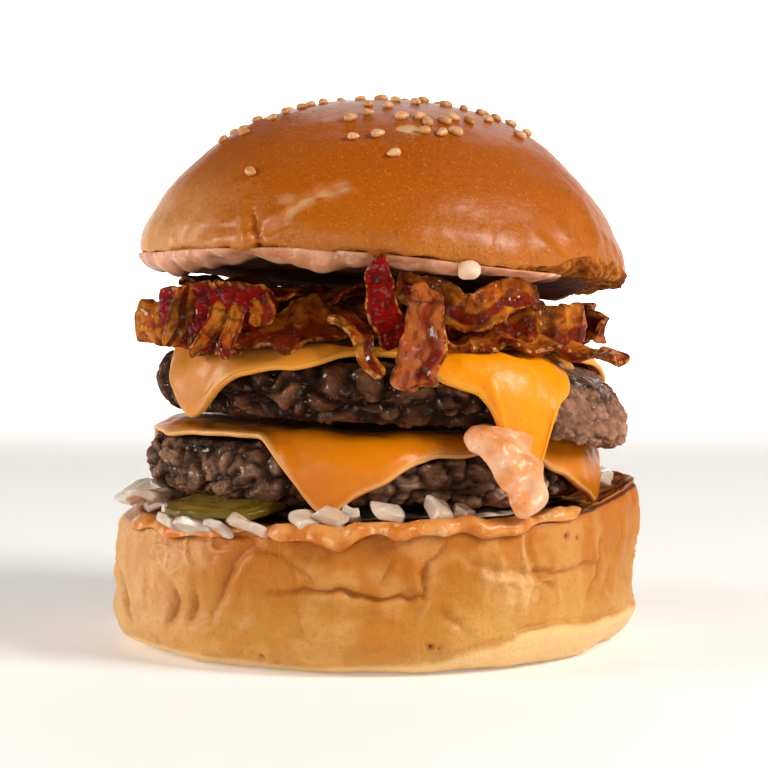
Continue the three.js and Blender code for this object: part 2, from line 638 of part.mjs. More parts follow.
// The tongue of sauce: an oval section carried down its route.
function sauceRunShape() {
  const curve = smoothRoute(SAUCE_RUN.route);
  return closedSkin(12, 10, (angle, t) => {
    const a = radians(angle);
    const tangent = curve.getTangent(t);
    const across = new THREE.Vector3(1, 0.55, 0).projectOnPlane(tangent).normalize();
    const outward = tangent.clone().cross(across);
    const closing = Math.sqrt(Math.max(0, 1 - (2 * t - 1) ** 6));
    const wide = closing * readAlong(SAUCE_RUN.halfWide, t);
    const thick = closing * readAlong(SAUCE_RUN.halfThick, t);
    const point = curve.getPoint(t).addScaledVector(across, wide * Math.cos(a));
    return point.addScaledVector(outward, thick * Math.sin(a)).toArray();
  });
}

// The outline of a thin disc with a rounded rim, from its underside (t = 0) to its top, as [radius, height].
function discOutline(radius, thick, t) {
  const turn = Math.cos(Math.PI * t);
  return [radius * Math.sin(Math.PI * t) ** 0.35, (thick / 2) * -Math.sign(turn) * Math.abs(turn) ** 0.5];
}

// A pickle slice: a disc with a slightly wavy rim.
function pickleShape(pickle, grow = 0) {
  return closedSkin(16, 6, (angle, t) => {
    const a = radians(angle);
    const rim = pickle.radius * (1 + 0.02 * Math.cos(5 * a)) + grow;
    const [radius, level] = discOutline(rim, pickle.thick + 2 * grow, t);
    return [radius * Math.cos(a), radius * Math.sin(a), level];
  });
}

function pickleSeat(pickle) {
  const turn = new THREE.Euler(radians(pickle.tiltX), radians(pickle.tiltY), 0);
  return new THREE.Matrix4().makeRotationFromEuler(turn).setPosition(pickle.x, pickle.y, pickle.z);
}

// One piece of onion: a box leaning out from the stack.
function onionPiece(x, y, z, size, turn, tip) {
  const lean = new THREE.Euler(0, radians(tip), radians(turn), "ZYX");
  const matrix = new THREE.Matrix4().makeRotationFromEuler(lean).setPosition(x, y, z);
  return solidOf(new THREE.BoxGeometry(...size), matrix);
}

// The onion before it is cut clear of its neighbours: the bed with dice and shards fused on.
function onionSolid() {
  const draw = draws(11);
  const bed = closedSkin(16, 6, (angle, t) => {
    const a = radians(angle);
    const rim = ONION_BED.radius * (1 + 0.05 * Math.cos(7 * a));
    const [radius, level] = discOutline(rim, ONION_BED.thick, t);
    return [radius * Math.cos(a), radius * Math.sin(a), BED_HEIGHT + 2.2 + level];
  });
  let solid = solidOf(bed);
  for (let i = 0; i < ONION_DICE.count; i++) {
    const angle = ONION_DICE.from + 25 + i * ONION_DICE.step + 5 * (draw() - 0.5);
    const a = radians(angle);
    const out = ONION_DICE.out + 2.4 * (draw() - 0.5);
    const size = ONION_DICE.size.map((s) => s * (0.8 + 0.5 * draw()));
    const [x, y] = [out * Math.cos(a), out * Math.sin(a)];
    const level = bedHeight(x, y) + GAP + SAUCE_BOTTOM.thick + size[2] / 2 + 0.5;
    const root = onionPiece(0.87 * x, 0.87 * y, BED_HEIGHT + 2.3, [14, 3, 1.1], angle, 0);
    const turn = angle + 50 * (draw() - 0.5);
    solid = solid.add(root).add(onionPiece(x, y, level, size, turn, 24 * (draw() - 0.5)));
  }
  ONION_SHARDS.forEach((shard) => {
    const angle = THREE.MathUtils.radToDeg(Math.atan2(shard.y, shard.x));
    const root = onionPiece(0.84 * shard.x, 0.84 * shard.y, BED_HEIGHT + 2.3, [16, 4, 1.1], angle, 0);
    solid = solid.add(root).add(onionPiece(shard.x, shard.y, shard.z, shard.size, shard.turn, shard.tip));
  });
  return solid;
}

const foods = {
  bun: new THREE.MeshStandardMaterial({ color: 0xc47a33, roughness: 0.5 }),
  bread: new THREE.MeshStandardMaterial({ color: 0xd9a05c, roughness: 0.6 }),
  beef: new THREE.MeshStandardMaterial({ color: 0x4a352b, roughness: 0.55 }),
  cheese: new THREE.MeshStandardMaterial({ color: 0xe89a22, roughness: 0.35 }),
  bacon: new THREE.MeshStandardMaterial({ color: 0x9a3d1c, roughness: 0.35 }),
  sauce: new THREE.MeshStandardMaterial({ color: 0xd99a78, roughness: 0.3 }),
  onion: new THREE.MeshStandardMaterial({ color: 0xd8c8bb, roughness: 0.3 }),
  pickle: new THREE.MeshStandardMaterial({ color: 0x6d6a1a, roughness: 0.35 }),
};

const burger = new THREE.Group();

// Adds a node whose geometry is in the frame that matrix places; a solid is in the burger's own frame.
function place(name, material, shape, matrix = new THREE.Matrix4()) {
  const solid = shape.isBufferGeometry ? solidOf(shape) : shape.transform(matrix.clone().invert().elements);
  const mesh = new THREE.Mesh(geometryOf(solid), material);
  matrix.decompose(mesh.position, mesh.quaternion, mesh.scale);
  mesh.name = name;
  burger.add(mesh);
}

const lowerSeat = pattySeat(PATTY_LOWER);
const upperSeat = pattySeat(PATTY_UPPER);

// The same shapes a clearance larger, to cut their neighbours with.
const grownLowerPatty = solidOf(pattyShape(PATTY_LOWER, CUT), lowerSeat);
const grownUpperPatty = solidOf(pattyShape(PATTY_UPPER, CUT), upperSeat);
const grownLowerCheese = cheeseSolid(PATTY_LOWER, CHEESE_LOWER, lowerSeat, CUT);
const grownUpperCheese = cheeseSolid(PATTY_UPPER, CHEESE_UPPER, upperSeat, CUT);
const grownTopSauce = solidOf(closedSkin(40, 8, sauceTopPoint(CUT)));
const grownBottomSauce = solidOf(closedSkin(40, 12, sauceBottomPoint(CUT)));
const grownBottomBun = solidOf(closedSkin(44, 16, (angle, t) => bottomBunPoint(angle, t, CUT)));
const grownTopBun = solidOf(closedSkin(40, 14, (angle, t) => topBunPoint(angle, t, CUT)));
const grownPickles = PICKLES.map((pickle) => solidOf(pickleShape(pickle, CUT), pickleSeat(pickle)));

place("bun_bottom", foods.bread, closedSkin(44, 16, (angle, t) => bottomBunPoint(angle, t)));
const snugBottomBun = solidOf(closedSkin(44, 16, (angle, t) => bottomBunPoint(angle, t, GAP / 2)));
const bottomSauce = solidOf(closedSkin(40, 12, sauceBottomPoint(0)));
place("sauce_bottom", foods.sauce, cutBy(bottomSauce, [snugBottomBun]));
PICKLES.forEach((pickle, i) => {
  const seat = pickleSeat(pickle);
  const neighbours = [grownLowerPatty, grownBottomSauce, grownBottomBun];
  place("pickle_" + (i + 1), foods.pickle, cutBy(solidOf(pickleShape(pickle), seat), neighbours), seat);
});
place("patty_lower", foods.beef, pattyShape(PATTY_LOWER), lowerSeat);
const lowerCheese = cheeseSolid(PATTY_LOWER, CHEESE_LOWER, lowerSeat);
place("cheese_lower", foods.cheese, cutBy(lowerCheese, [grownUpperPatty, grownBottomSauce]), lowerSeat);
place("patty_upper", foods.beef, pattyShape(PATTY_UPPER), upperSeat);
const upperCheese = cheeseSolid(PATTY_UPPER, CHEESE_UPPER, upperSeat);
place("cheese_upper", foods.cheese, cutBy(upperCheese, [grownLowerCheese, grownLowerPatty]), upperSeat);
const bed = [grownBottomSauce, grownBottomBun, grownLowerPatty, grownLowerCheese];
place("sauce_run", foods.sauce, cutBy(solidOf(sauceRunShape()), [...bed, grownUpperPatty, grownUpperCheese]));
place("onion", foods.onion, cutBy(onionSolid(), [...bed, ...grownPickles]));
place("sauce_top", foods.sauce, closedSkin(40, 8, sauceTopPoint(0)));
place("bun_top", foods.bun, topBunSolid());

// Each strip of bacon is cut clear of the cheese, the sauce, the top bun and the strips placed before it.
const laid = [grownUpperCheese, grownUpperPatty, grownTopSauce, grownTopBun];
for (const [name, strip] of Object.entries(BACON)) {
  place(name, foods.bacon, cutBy(solidOf(baconShape(strip)), laid));
  laid.push(solidOf(baconShape(strip, CUT)));
}

export default burger;
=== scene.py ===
import math

import bpy
import numpy as np
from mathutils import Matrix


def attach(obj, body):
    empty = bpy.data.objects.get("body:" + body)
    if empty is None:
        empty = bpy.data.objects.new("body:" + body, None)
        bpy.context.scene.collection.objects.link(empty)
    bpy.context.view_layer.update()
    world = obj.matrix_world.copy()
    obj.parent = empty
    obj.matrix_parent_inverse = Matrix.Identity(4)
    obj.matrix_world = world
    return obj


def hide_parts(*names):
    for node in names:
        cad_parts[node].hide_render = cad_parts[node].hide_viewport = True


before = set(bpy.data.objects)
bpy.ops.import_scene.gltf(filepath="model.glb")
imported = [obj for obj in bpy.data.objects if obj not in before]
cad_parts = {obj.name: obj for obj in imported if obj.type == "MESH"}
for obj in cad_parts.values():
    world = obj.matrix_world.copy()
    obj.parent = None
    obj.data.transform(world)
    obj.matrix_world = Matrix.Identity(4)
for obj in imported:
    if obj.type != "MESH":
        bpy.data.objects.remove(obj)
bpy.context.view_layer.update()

# Buns, with sizes close to those of the solids.
BED_RADIUS, BED_HEIGHT = 53.8, 27.0
HEEL_DEPTH = 0.985  # the heel's depth over its width
RIM_RISE = {"mean": 3.0, "right": 3.4, "back": 0.8}
BOTTOM_LEAN = {"foot": -1.8, "rim": 0.6}
DOME_RADIUS, DOME_TOP, TOP_SHIFT, CUT_HEIGHT, CUT_RADIUS = 51.4, 113.4, 1.1, 77.3, 49.9
CUT_FALL = {"right": 0.068, "back": 0.076}
BOTTOM_WALL = [[41, 0], [47.8, 0.6], [52.2, 2.8], [54.6, 7], [54.1, 11], [54.3, 15], [54.8, 20], [54.4, 25],
               [53.9, 27.3], [53.0, 28.2]]
DOME_WALL = [
    [50.2, 0], [51.4, 0.04], [50.8, 0.16], [48.6, 0.28], [45.6, 0.42],
    [40.6, 0.58], [33.8, 0.75], [23.6, 0.9], [11.8, 0.978], [0, 1],
]

# Patties: centre, radius and thickness, the lean to the right, and how far the right edge droops.
PATTY_EDGE, PATTY_TILT_BACK, CHEESE_THICK, GAP = 6.2, 1.0, 2.1, 0.3
PATTY_LOWER = dict(x=-2.5, z=37.3, radius=46.8, thick=12.4, tilt=1.7, droop=0, phase=0.4)
PATTY_UPPER = dict(x=4.2, z=53.5, radius=50.0, thick=12.8, tilt=2.0, droop=8, phase=2.1)

# Where the edge of each melted slice lies: angle, and how far it reaches over the patty from its middle.
CHEESE_LOWER_EDGE = [
    (-180, 44.0), (-172, 43.4), (-163, 44.2), (-152, 44.8), (-140, 43.6), (-128, 42.6), (-118, 43.0),
    (-113, 45.6), (-109, 48.2), (-106, 50.5), (-103.5, 53.2), (-100, 56.4), (-97, 57.2), (-94.5, 56.0),
    (-92, 53.8), (-88, 51.8), (-83, 50.2), (-78, 48.0), (-72, 45.8), (-66, 45.4), (-60, 44.6),
    (-50, 44.5), (-43, 45.6), (-38, 48.6), (-31, 50.4), (-25, 52.2), (-19, 54.6), (-14, 57.2),
    (-9, 56.4), (-2, 50), (10, 44), (30, 42.5), (52, 44), (66, 50), (80, 55.4), (92, 50), (110, 43.5),
    (140, 43), (152, 50), (163, 48.5), (172, 45),
]
CHEESE_UPPER_EDGE = [
    (-180, 45.5), (-166, 45.8), (-157, 48.6), (-151, 53.0), (-146, 57.4), (-141.5, 60.2), (-137, 58.6),
    (-132, 54.0), (-127, 51.4), (-121, 50.2), (-114, 49.2), (-107, 47.0), (-101, 43.6), (-95, 41.8),
    (-89, 42.6), (-84, 47.0), (-80, 50.2), (-76, 51.0), (-72, 51.8), (-69, 54.4), (-66.5, 59.5),
    (-65, 65.0), (-61, 68.0), (-57.8, 67.4), (-56.4, 62.0), (-55, 56.4), (-52.5, 52.6), (-49, 50.6),
    (-46, 48.0), (-43, 44.4), (-40, 42.0), (-36, 40.5), (-26, 39.5), (-10, 35), (4, 36), (16, 44),
    (28, 53), (38, 57.5), (48, 53), (64, 45), (90, 44), (108, 48), (124, 55.2), (138, 50), (156, 45.4),
]

# Sauce under the top bun: angle, how far it hangs, how wide. On the bottom bun: angle, reach, how wide.
SAUCE_TOP_LOBES = [
    (-168, 3.0, 8), (-153, 4.2, 6), (-142, 3.6, 5), (-134.5, 2.2, 3.2), (-127.5, 1.9, 3), (-115.6, 1.4, 3.4),
    (-109, 2.4, 3.4), (-103.5, 3.4, 3.8), (-95, 1.2, 3.6), (-84, 0.6, 4), (-74, 1.2, 5), (-62, 0.6, 5),
    (-50, 1.0, 4), (-20, 1.0, 9), (20, 1.2, 12), (70, 2.4, 9), (100, 1.2, 6), (128, 2.0, 7), (160, 1.4, 6),
]
SAUCE_BOTTOM_RUNS = [
    (-152, 4.2, 7), (-138, 4.0, 7), (-124, 3.0, 8), (-104, 4.2, 11), (-82, 4.0, 13), (-60, 3.6, 12),
    (-44, 4.8, 8), (-111, 1.3, 3.4), (-98, 1.8, 3.2), (-86, 1.5, 2.6), (-76, 0.8, 2.4), (-69, 1.0, 3),
    (-60, 0.6, 3), (-8, -8, 30), (60, 6.5, 11), (96, 6.5, 12), (150, 4.0, 9),
]

# The thick tongue of sauce: its route, half widths and half thicknesses along it.
SAUCE_RUN_ROUTE = [
    [21.0, -43.0, 47.0], [24.0, -48.8, 46.0], [26.4, -51.2, 41.8], [28.6, -50.8, 37.0], [30.0, -49.4, 31.4],
]
SAUCE_RUN_WIDE = [4.4, 6.9, 5.6, 4.2, 4.6]
SAUCE_RUN_THICK = [1.6, 2.5, 2.6, 2.3, 1.4]

# The bright blob at the crown's rim: centre and half sizes.
CREAM_BLOB = ((18.0, -49.2, 78.4), (2.3, 2.1, 1.9))

# Bacon: route, the way the width lies, widths, ripple (size, length, phase), and looks: how fatty, how red,
# how brown.
BACON = {
    "bacon_left_fold": (
        [[-20.5, -38.0, 69.8], [-25, -42.2, 70.2], [-31, -41.2, 69.2], [-36.5, -34.5, 69.2],
         [-41, -26.5, 69.6], [-42.5, -18, 70.6]],
        [[0, -0.2, 1], [0.1, -0.3, 1], [-0.1, 0.1, 1]],
        [7, 13, 14.5, 13, 11, 7], (0.9, 7.5, 0.6), (-0.2, 1.0, 0.0),
    ),
    "bacon_left_end": (
        [[-33, -9, 67.4], [-41, -14.5, 66.6], [-46.4, -11.5, 66.4], [-48.2, -3, 66.8], [-45.5, 6, 67.4]],
        [[0, 0, 1], [-0.1, 0.1, 1]],
        [7, 10, 9.4, 8, 6], (0.7, 9, 2.0), (1.1, 0.1, -0.1),
    ),
    "bacon_left_low": (
        [[-36.4, -35, 65.0], [-29, -39.6, 66.4], [-20, -40.4, 67.0], [-11, -37.6, 67.8], [-2, -30, 67.6],
         [4, -20, 67.0]],
        [[0.5, 0.7, 0.5], [0.2, 0.74, 0.64], [-0.5, 0.7, 0.42]],
        [6, 10, 11, 11, 10, 8], (0.5, 14, 0), (0.6, 0.35, 0.5),
    ),
    "bacon_left_shelf": (
        [[-37, -9, 75.0], [-28, -20, 75.0], [-19, -24, 73.4], [-9, -24.6, 73.0], [2, -22, 75.0],
         [14, -15, 74.6]],
        [[0.7, 0.7, 0], [0.2, 1, 0.02], [-0.4, 0.9, 0]],
        [10, 14, 16, 16, 15, 10], (0.7, 13, 1.1), (0.7, 0.3, 0.4),
    ),
    "bacon_red": (
        [[0.8, -53.6, 81.4], [0.2, -53.2, 77.4], [1.2, -50.6, 72.8], [2.8, -46.6, 68.2], [3.8, -43.8, 64.6]],
        [[1, 0.1, -0.1], [1, 0.2, 0.25], [1, 0.3, 0.2]],
        [2.2, 5.4, 6.2, 6.4, 5.6], (0.3, 10, 0), (-0.3, 1.0, -0.2),
    ),
    "bacon_hanging": (
        [[10.2, -47.0, 76.0], [9.8, -49.4, 72.0], [8.8, -51.9, 66.0], [8.0, -52.6, 60.6], [7.4, -52.2, 56.0]],
        [[1, -0.2, 0.1], [1, -0.35, 0.1], [1, -0.1, 0.05]],
        [4.6, 7.2, 8.4, 9.0, 8.6], (0.35, 11, 0.8), (0.95, 0.9, -0.2),
    ),
    "bacon_diagonal": (
        [[-7.4, -44.4, 69.6], [-4.6, -47.0, 67.4], [-1.6, -50.4, 62.6], [1.2, -52.2, 58.6]],
        [[0.6, 0.8, 0.2], [0.7, 0.7, 0.2], [1, 0.2, 0.3]],
        [5.6, 5.6, 3.6, 2.6], (0.3, 7, 0), (0.6, 0.2, 0.55),
    ),
    "bacon_right_vee": (
        [[5.4, -36.5, 75.2], [11, -42, 73.4], [17.4, -44.6, 69.6], [22.6, -42.8, 71.2], [26.6, -38.6, 74.0],
         [33, -31, 72.4]],
        [[0.1, 0.2, 1], [0.25, -0.15, 1], [-0.3, 0.1, 1], [0, 0.2, 1]],
        [6, 7.6, 8.0, 7.6, 7, 5], (0.5, 8, 0), (0.8, 0.3, 0.0),
    ),
    "bacon_right_fold": (
        [[14.5, -34.2, 68.2], [22, -36.0, 67.8], [28.6, -33.6, 68.4], [34, -30.6, 67.6], [39.6, -24.4, 67.0],
         [43.0, -15.5, 66.6]],
        [[0, 0.2, 1], [0.1, 0.3, 1], [-0.1, 0.1, 1]],
        [7, 8.6, 9, 9.4, 9, 6], (0.9, 8.5, 1.0), (0.75, 0.3, 0.05),
    ),
    "bacon_right_low": (
        [[11.5, -42.4, 65.4], [17.6, -42.4, 64.2], [24.4, -39.4, 64.6], [33, -35.2, 63.4],
         [41.4, -29.2, 62.0], [49.6, -20.6, 61.4]],
        [[0.1, 1, 0.22], [-0.3, 0.95, 0.2], [-0.6, 0.8, 0.24]],
        [5, 8, 9, 9.6, 9.6, 6.4], (0.4, 9, 0.5), (0.8, 0.6, -0.1),
    ),
    "bacon_middle": (
        [[-38, 2, 67.0], [-22, -2, 67.8], [-4, -4, 67.2], [14, -6, 67.8], [30, -9, 66.0], [38, -10, 65.0]],
        [[0.1, 1, 0], [0, 1, 0]],
        [14, 20, 22, 22, 20, 12], (1.2, 19, 0.3), (0.5, 0.5, 0.4),
    ),
    "bacon_back_right": (
        [[47, 1, 65.4], [44.6, 13, 66.0], [37.6, 25, 65.6], [28, 35, 65.8], [15.5, 41.5, 65.8]],
        [[0.1, 0.1, 1], [-0.1, 0, 1]],
        [6, 9, 9.4, 9, 6], (1.5, 11, 0.2), (0.5, 0.5, 0.35),
    ),
    "bacon_back_left": (
        [[-45.5, 16, 69.0], [-39.5, 26.6, 69.2], [-29, 36.8, 68.6], [-16, 42.6, 68.2], [-3, 45.4, 67.6]],
        [[-0.1, 0, 1], [0.1, 0.1, 1]],
        [6, 10.5, 10.5, 10, 6], (1.4, 12, 1.4), (0.6, 0.35, 0.4),
    ),
    "bacon_back_low": (
        [[-36, 18, 66.0], [-22, 25, 65.6], [-6, 29, 65.2], [12, 28, 64.6], [26, 21, 63.8]],
        [[0.5, -0.9, 0.1], [0, -1, 0.1], [-0.6, -0.8, 0.1]],
        [9, 12, 13, 12, 9], (0.6, 15, 0.9), (0.5, 0.5, 0.4),
    ),
}

# Shreds that hang from the left fold: route and widths.
SHREDS = [
    ([[-30, -43.0, 72.5], [-31.6, -44.2, 68], [-34.0, -43.8, 64.4], [-35.4, -42.4, 62.2]],
     [3.4, 3.6, 2.6, 1.2]),
    ([[-27, -44.2, 71.5], [-27.6, -45.4, 67.5], [-28.6, -45.6, 64.2], [-29.2, -44.8, 62.8]],
     [3.0, 3.4, 2.8, 1.6]),
    ([[-36.4, -37.4, 75.4], [-37.6, -38.6, 71], [-38.6, -38.6, 67], [-40.6, -36.4, 63.6]],
     [3.0, 5.0, 4.6, 2.4]),
    ([[-23.4, -42.6, 74.0], [-22.0, -43.4, 70.6], [-22.6, -43.6, 66.8]],
     [3.6, 5.6, 4.4]),
]

# Strips further in, which show dark between the others: route and widths.
INNER_STRIPS = [
    ([[-38, 8, 70.8], [-20, 13, 71.0], [0, 14, 70.4], [18, 12, 69.6], [36, 6, 68.4]],
     [5.0, 6.4, 6.4, 6.2, 5.0]),
    ([[11, -28, 69.8], [14, -10, 70.0], [13, 12, 69.8], [9, 30, 69.2]],
     [5.0, 6.4, 6.4, 5.0]),
]

# Creases in the bottom bun's wall: (angle, height) points, depth, width, and the lift above and below.
CREASES = [
    ([(-112, 15.6), (-105, 17.1), (-98, 17.2), (-92, 16.5), (-88, 15.4), (-82, 15.0), (-79, 15.6)],
     1.5, 0.8, 0.5, 0.35),
    ([(-79, 15.6), (-79, 17.6), (-80.5, 20.0), (-80, 22.6), (-78, 24.6), (-76, 27)], 0.8, 0.9, 0.35, 0.3),
    ([(-107, 22.5), (-104, 20), (-102, 17.9)], 0.4, 0.7, 0.2, 0.2),
    ([(-117, 26), (-120, 22.4), (-122, 18.8), (-124, 14.7), (-126, 12.0)], 0.8, 1.3, 0.5, 0.1),
    ([(-137, 16), (-136, 12), (-137, 8.6)], 1.3, 1.5, 0.3, 0.3),
    ([(-130.5, 15), (-130, 12), (-131, 9)], 1.0, 1.3, 0.2, 0.3),
    ([(-166, 24), (-165, 17), (-158, 11.5), (-150, 7.0)], 0.9, 1.0, 0.2, 0.4),
    ([(-86, 24), (-87, 21.5), (-88, 19)], 0.45, 0.7, 0.35, 0.1),
    ([(-72, 23.8), (-69, 21.4), (-64, 19.8), (-59, 20.6)], 0.5, 0.9, 0.3, 0.2),
    ([(-60, 20.6), (-54, 19.8), (-46, 19.6), (-33, 18.8)], 0.7, 0.8, 0.5, 0.2),
    ([(-58.5, 26), (-57, 22), (-55, 19), (-51, 16.4)], 0.6, 0.7, 0.3, 0.3),
    ([(-36, 25), (-34.5, 20), (-36, 15.4), (-39, 11.8)], 0.9, 1.0, 0.3, 0.4),
    ([(-27, 29), (-26, 25), (-28, 19)], 0.5, 0.8, 0.3, 0.2),
    ([(-76, 13), (-72, 10.5), (-70, 8)], 0.35, 0.9, 0.2, 0.2),
    ([(-112, 9), (-104, 8), (-99, 5.5)], 0.3, 1.0, 0.2, 0.1),
    ([(-150, 20), (-146, 16), (-147, 12)], 0.4, 1.0, 0.3, 0.2),
    ([(12, 13), (28, 11.4), (46, 11.8), (66, 10)], 1.1, 1.1, 0.4, 0.3),
    ([(66, 22), (69, 17), (66, 10)], 0.7, 1.0, 0.3, 0.3),
    ([(90, 15), (104, 14.5), (118, 12), (131, 11)], 1.2, 1.2, 0.4, 0.3),
    ([(140, 17), (156, 15), (172, 14)], 0.9, 1.1, 0.3, 0.3),
    ([(148, 24), (145, 19), (150, 15)], 0.6, 0.9, 0.3, 0.2),
    ([(20, 25), (24, 20), (22, 15)], 0.6, 0.9, 0.3, 0.2),
]

# Small dark spots on the wall: angle, height and size.
HEEL_SPECKS = [(-77.5, 6.4, 0.8), (-75.6, 6.0, 0.4), (-113, 3.6, 0.6), (-47.5, 26.2, 0.8),
              (-44.4, 25.6, 0.6), (-97, 12.5, 0.3)]

# Where the pale underside laps up over the wall: angle and height.
LAP_LINE = [(-180, 3.0), (-150, 3.4), (-110, 2.2), (-76, 3.0), (-64, 6.0), (-56, 8.0), (-46, 8.4),
            (-35, 8.0), (-6, 8.2), (20, 6.5), (60, 4.5), (100, 5.5), (140, 4.0), (180, 3.0)]

# Seeds that show at the front: x and y. The rest follow a rule.
SEEDS_FRONT = [
    (-31.5, -12.2), (-26.5, -17.2), (-26.9, -12.5), (-24.4, -5.9), (-21.3, -14.5), (-18.5, -12.5),
    (-15.3, -10.4), (-13.7, -5.0), (-10.8, -5.2), (-3.3, -6.2), (1.1, -6.6), (4.0, -11.9), (8.0, -13.9),
    (9.8, -5.5), (-1.5, -18.7), (2.7, -19.8), (-1.3, -25.2), (-4.7, -27.5), (-4.1, -35.1), (0.5, -34.2),
    (5.3, -26.8), (8.7, -25.6), (10.2, -28.1), (13.6, -25.6), (15.6, -22.8), (18.9, -21.6), (22.8, -15.5),
    (14.7, -10.8), (18.1, -10.2), (21.4, -9.0), (25.0, -9.2), (27.9, -4.2), (31.0, -6.4), (29.2, -15.3),
    (9.6, -31.7), (12.8, -31.2), (15.6, -29.1), (3.5, -39.1), (-24.3, -35.6),
]

# Onion pieces: centre, size, turn, tip and roll.
ONION_PIECES = [
    (-49.0, -8.0, 31.6, 8.6, 10.0, 3.4, 20, -22, 5), (-46.6, -18.0, 31.8, 8.0, 8.4, 3.2, -28, -18, -8),
    (-43.6, -12.5, 32.6, 6.0, 6.4, 3.0, 60, 12, 20), (-40.2, -37.8, 28.6, 6.6, 6.4, 2.8, 44, 24, 8),
    (-35.2, -41.8, 28.4, 7.4, 7.0, 2.8, 10, 28, -22), (-30.6, -44.6, 28.4, 5.6, 4.8, 2.6, 62, 30, 10),
    (-24.8, -46.6, 29.2, 7.6, 4.8, 2.8, 26, 14, 0), (-13.6, -48.8, 30.4, 5.4, 5.0, 3.2, 40, 20, 20),
    (-8.4, -49.2, 31.2, 6.2, 4.8, 3.8, -20, 30, 14), (-4.6, -48.2, 31.0, 4.4, 3.8, 3.0, 10, 14, -30),
    (2.6, -49.0, 31.8, 6.2, 4.4, 2.8, 12, 16, 6), (12.2, -49.2, 32.0, 4.6, 4.4, 4.4, 30, 24, 30),
    (16.6, -48.2, 32.0, 4.6, 3.8, 3.0, -15, 22, 0), (-28.0, -42.0, 29.6, 5.0, 4.4, 2.6, 70, 5, 30),
    (-52.0, 3.0, 30.6, 6.0, 7.0, 2.8, 5, -20, 0),
]
ONION_RULE = dict(count=26, start=-10, step=9.2, out=47.6, size=(5.4, 4.4, 3.0))

PICKLES = [
    dict(x=-29.5, y=-34.5, z=31.5, radius=12.5, thick=2.4, tilt_x=7, tilt_y=-6),
    dict(x=27.5, y=37.0, z=31.4, radius=12.0, thick=2.2, tilt_x=3, tilt_y=3),
]


def smooth(x, low, high):
    """0 below low and 1 above high; between them 3t^2 - 2t^3 of the share t."""
    t = np.clip((x - low) / (high - low), 0, 1)
    return t * t * (3 - 2 * t)


def turned(a, b):
    """The turn from angle a to angle b, from -180 to 180 degrees."""
    return (b - a + 180) % 360 - 180


def bell(x, wide):
    """A bell curve, 1 at x = 0, falling as exp(-(x / wide)^2)."""
    return np.exp(-((x / wide) ** 2))


def ring_bumps(table, angle):
    """The sum of bell curves round a ring; each row of the table is angle, height and width."""
    return sum(high * bell(turned(at, angle), wide) for at, high, wide in table)


def ring_line(table, angle, soften=2.0):
    """Heights joined by straight lines round a ring, then averaged with a bell of that many degrees."""
    steps = np.arange(-540, 540, 0.5)
    at, high = np.array(table, float).T
    line = np.interp((steps + 180) % 360 - 180, at, high, period=360)
    reach = np.arange(-4 * soften, 4 * soften + 0.5, 0.5)
    weight = bell(reach, soften)
    line = np.convolve(line, weight / weight.sum(), "same")
    return np.interp((angle + 180) % 360 - 180, steps, line)


def curve_through(points, share, run_out=False):
    """A cubic through evenly timed points whose slope at each is half the step between its neighbours."""
    points = np.asarray(points, float)
    first, last = points[:1], points[-1:]
    if run_out:
        first, last = 2 * points[:1] - points[1:2], 2 * points[-1:] - points[-2:-1]
    padded = np.concatenate([first, points, last])
    place = np.clip(share, 0, 1) * (len(points) - 1)
    i = np.minimum(place.astype(int), len(points) - 2)
    f = (place - i)[..., None]
    a, b, c, d = padded[i], padded[i + 1], padded[i + 2], padded[i + 3]
    return 0.5 * (2 * b + (c - a) * f + (2 * a - 5 * b + 4 * c - d) * f**2 + (3 * b - a - 3 * c + d) * f**3)


def read_along(values, share):
    """Evenly spaced values or vectors read at shares from 0 to 1, by straight lines between them."""
    values = np.asarray(values, float)
    place = np.clip(share, 0, 1) * (len(values) - 1)
    i = np.minimum(place.astype(int), len(values) - 2)
    f = place - i
    if values.ndim > 1:
        f = f[..., None]
    return values[i] * (1 - f) + values[i + 1] * f


def draws_at(i, j, k, seed):
    """A fixed draw from 0 to 1 for each whole-number point, by mixing its bits."""
    h = (i * 374761393 + j * 668265263 + k * 1440662683 + seed * 1274126177) & 0xFFFFFFFF
    h = ((h ^ (h >> 15)) * 739982445) & 0xFFFFFFFF
    h = ((h ^ (h >> 12)) * 695872825) & 0xFFFFFFFF
    return ((h ^ (h >> 15)) & 0xFFFFFF) / 0xFFFFFF


def swell(points, size, seed=0):
    """Smooth noise from about -1 to 1: draws at the corners of cubes of that size, blended inside each."""
    p = points / size
    cell = np.floor(p).astype(np.int64)
    f = p - cell
    w = f * f * f * (f * (f * 6 - 15) + 10)
    total = 0
    for x in (0, 1):
        for y in (0, 1):
            for z in (0, 1):
                side = np.array([x, y, z])
                corner = draws_at(*np.moveaxis(cell + side, -1, 0), seed)
                total = total + np.prod(np.where(side, w, 1 - w), -1) * corner
    return 2 * total - 1


def grain(points, size, octaves=3, seed=0):
    """Noise on noise: each finer layer has half the size and half the height of the one before."""
    return sum(swell(points, size / 2**n, seed + 31 * n) / 2**n for n in range(octaves))


def lumps(points, size, seed=0):
    """For points strewn one to a cube: the two nearest distances, in cubes, and a draw for the nearest."""
    p = points / size
    cell = np.floor(p).astype(np.int64)
    near = np.full(p.shape[:-1], 9.0)
    second = near.copy()
    tone = near * 0
    for step in range(27):
        c = cell + np.array([step // 9 - 1, step // 3 % 3 - 1, step % 3 - 1])
        i, j, k = np.moveaxis(c, -1, 0)
        centre = c + np.stack([draws_at(i, j, k, seed + n) for n in range(3)], -1)
        away = np.linalg.norm(p - centre, axis=-1)
        closer = away < near
        second = np.where(closer, near, np.minimum(second, away))
        tone = np.where(closer, draws_at(i, j, k, seed + 3), tone)
        near = np.where(closer, away, near)
    return near, second, tone


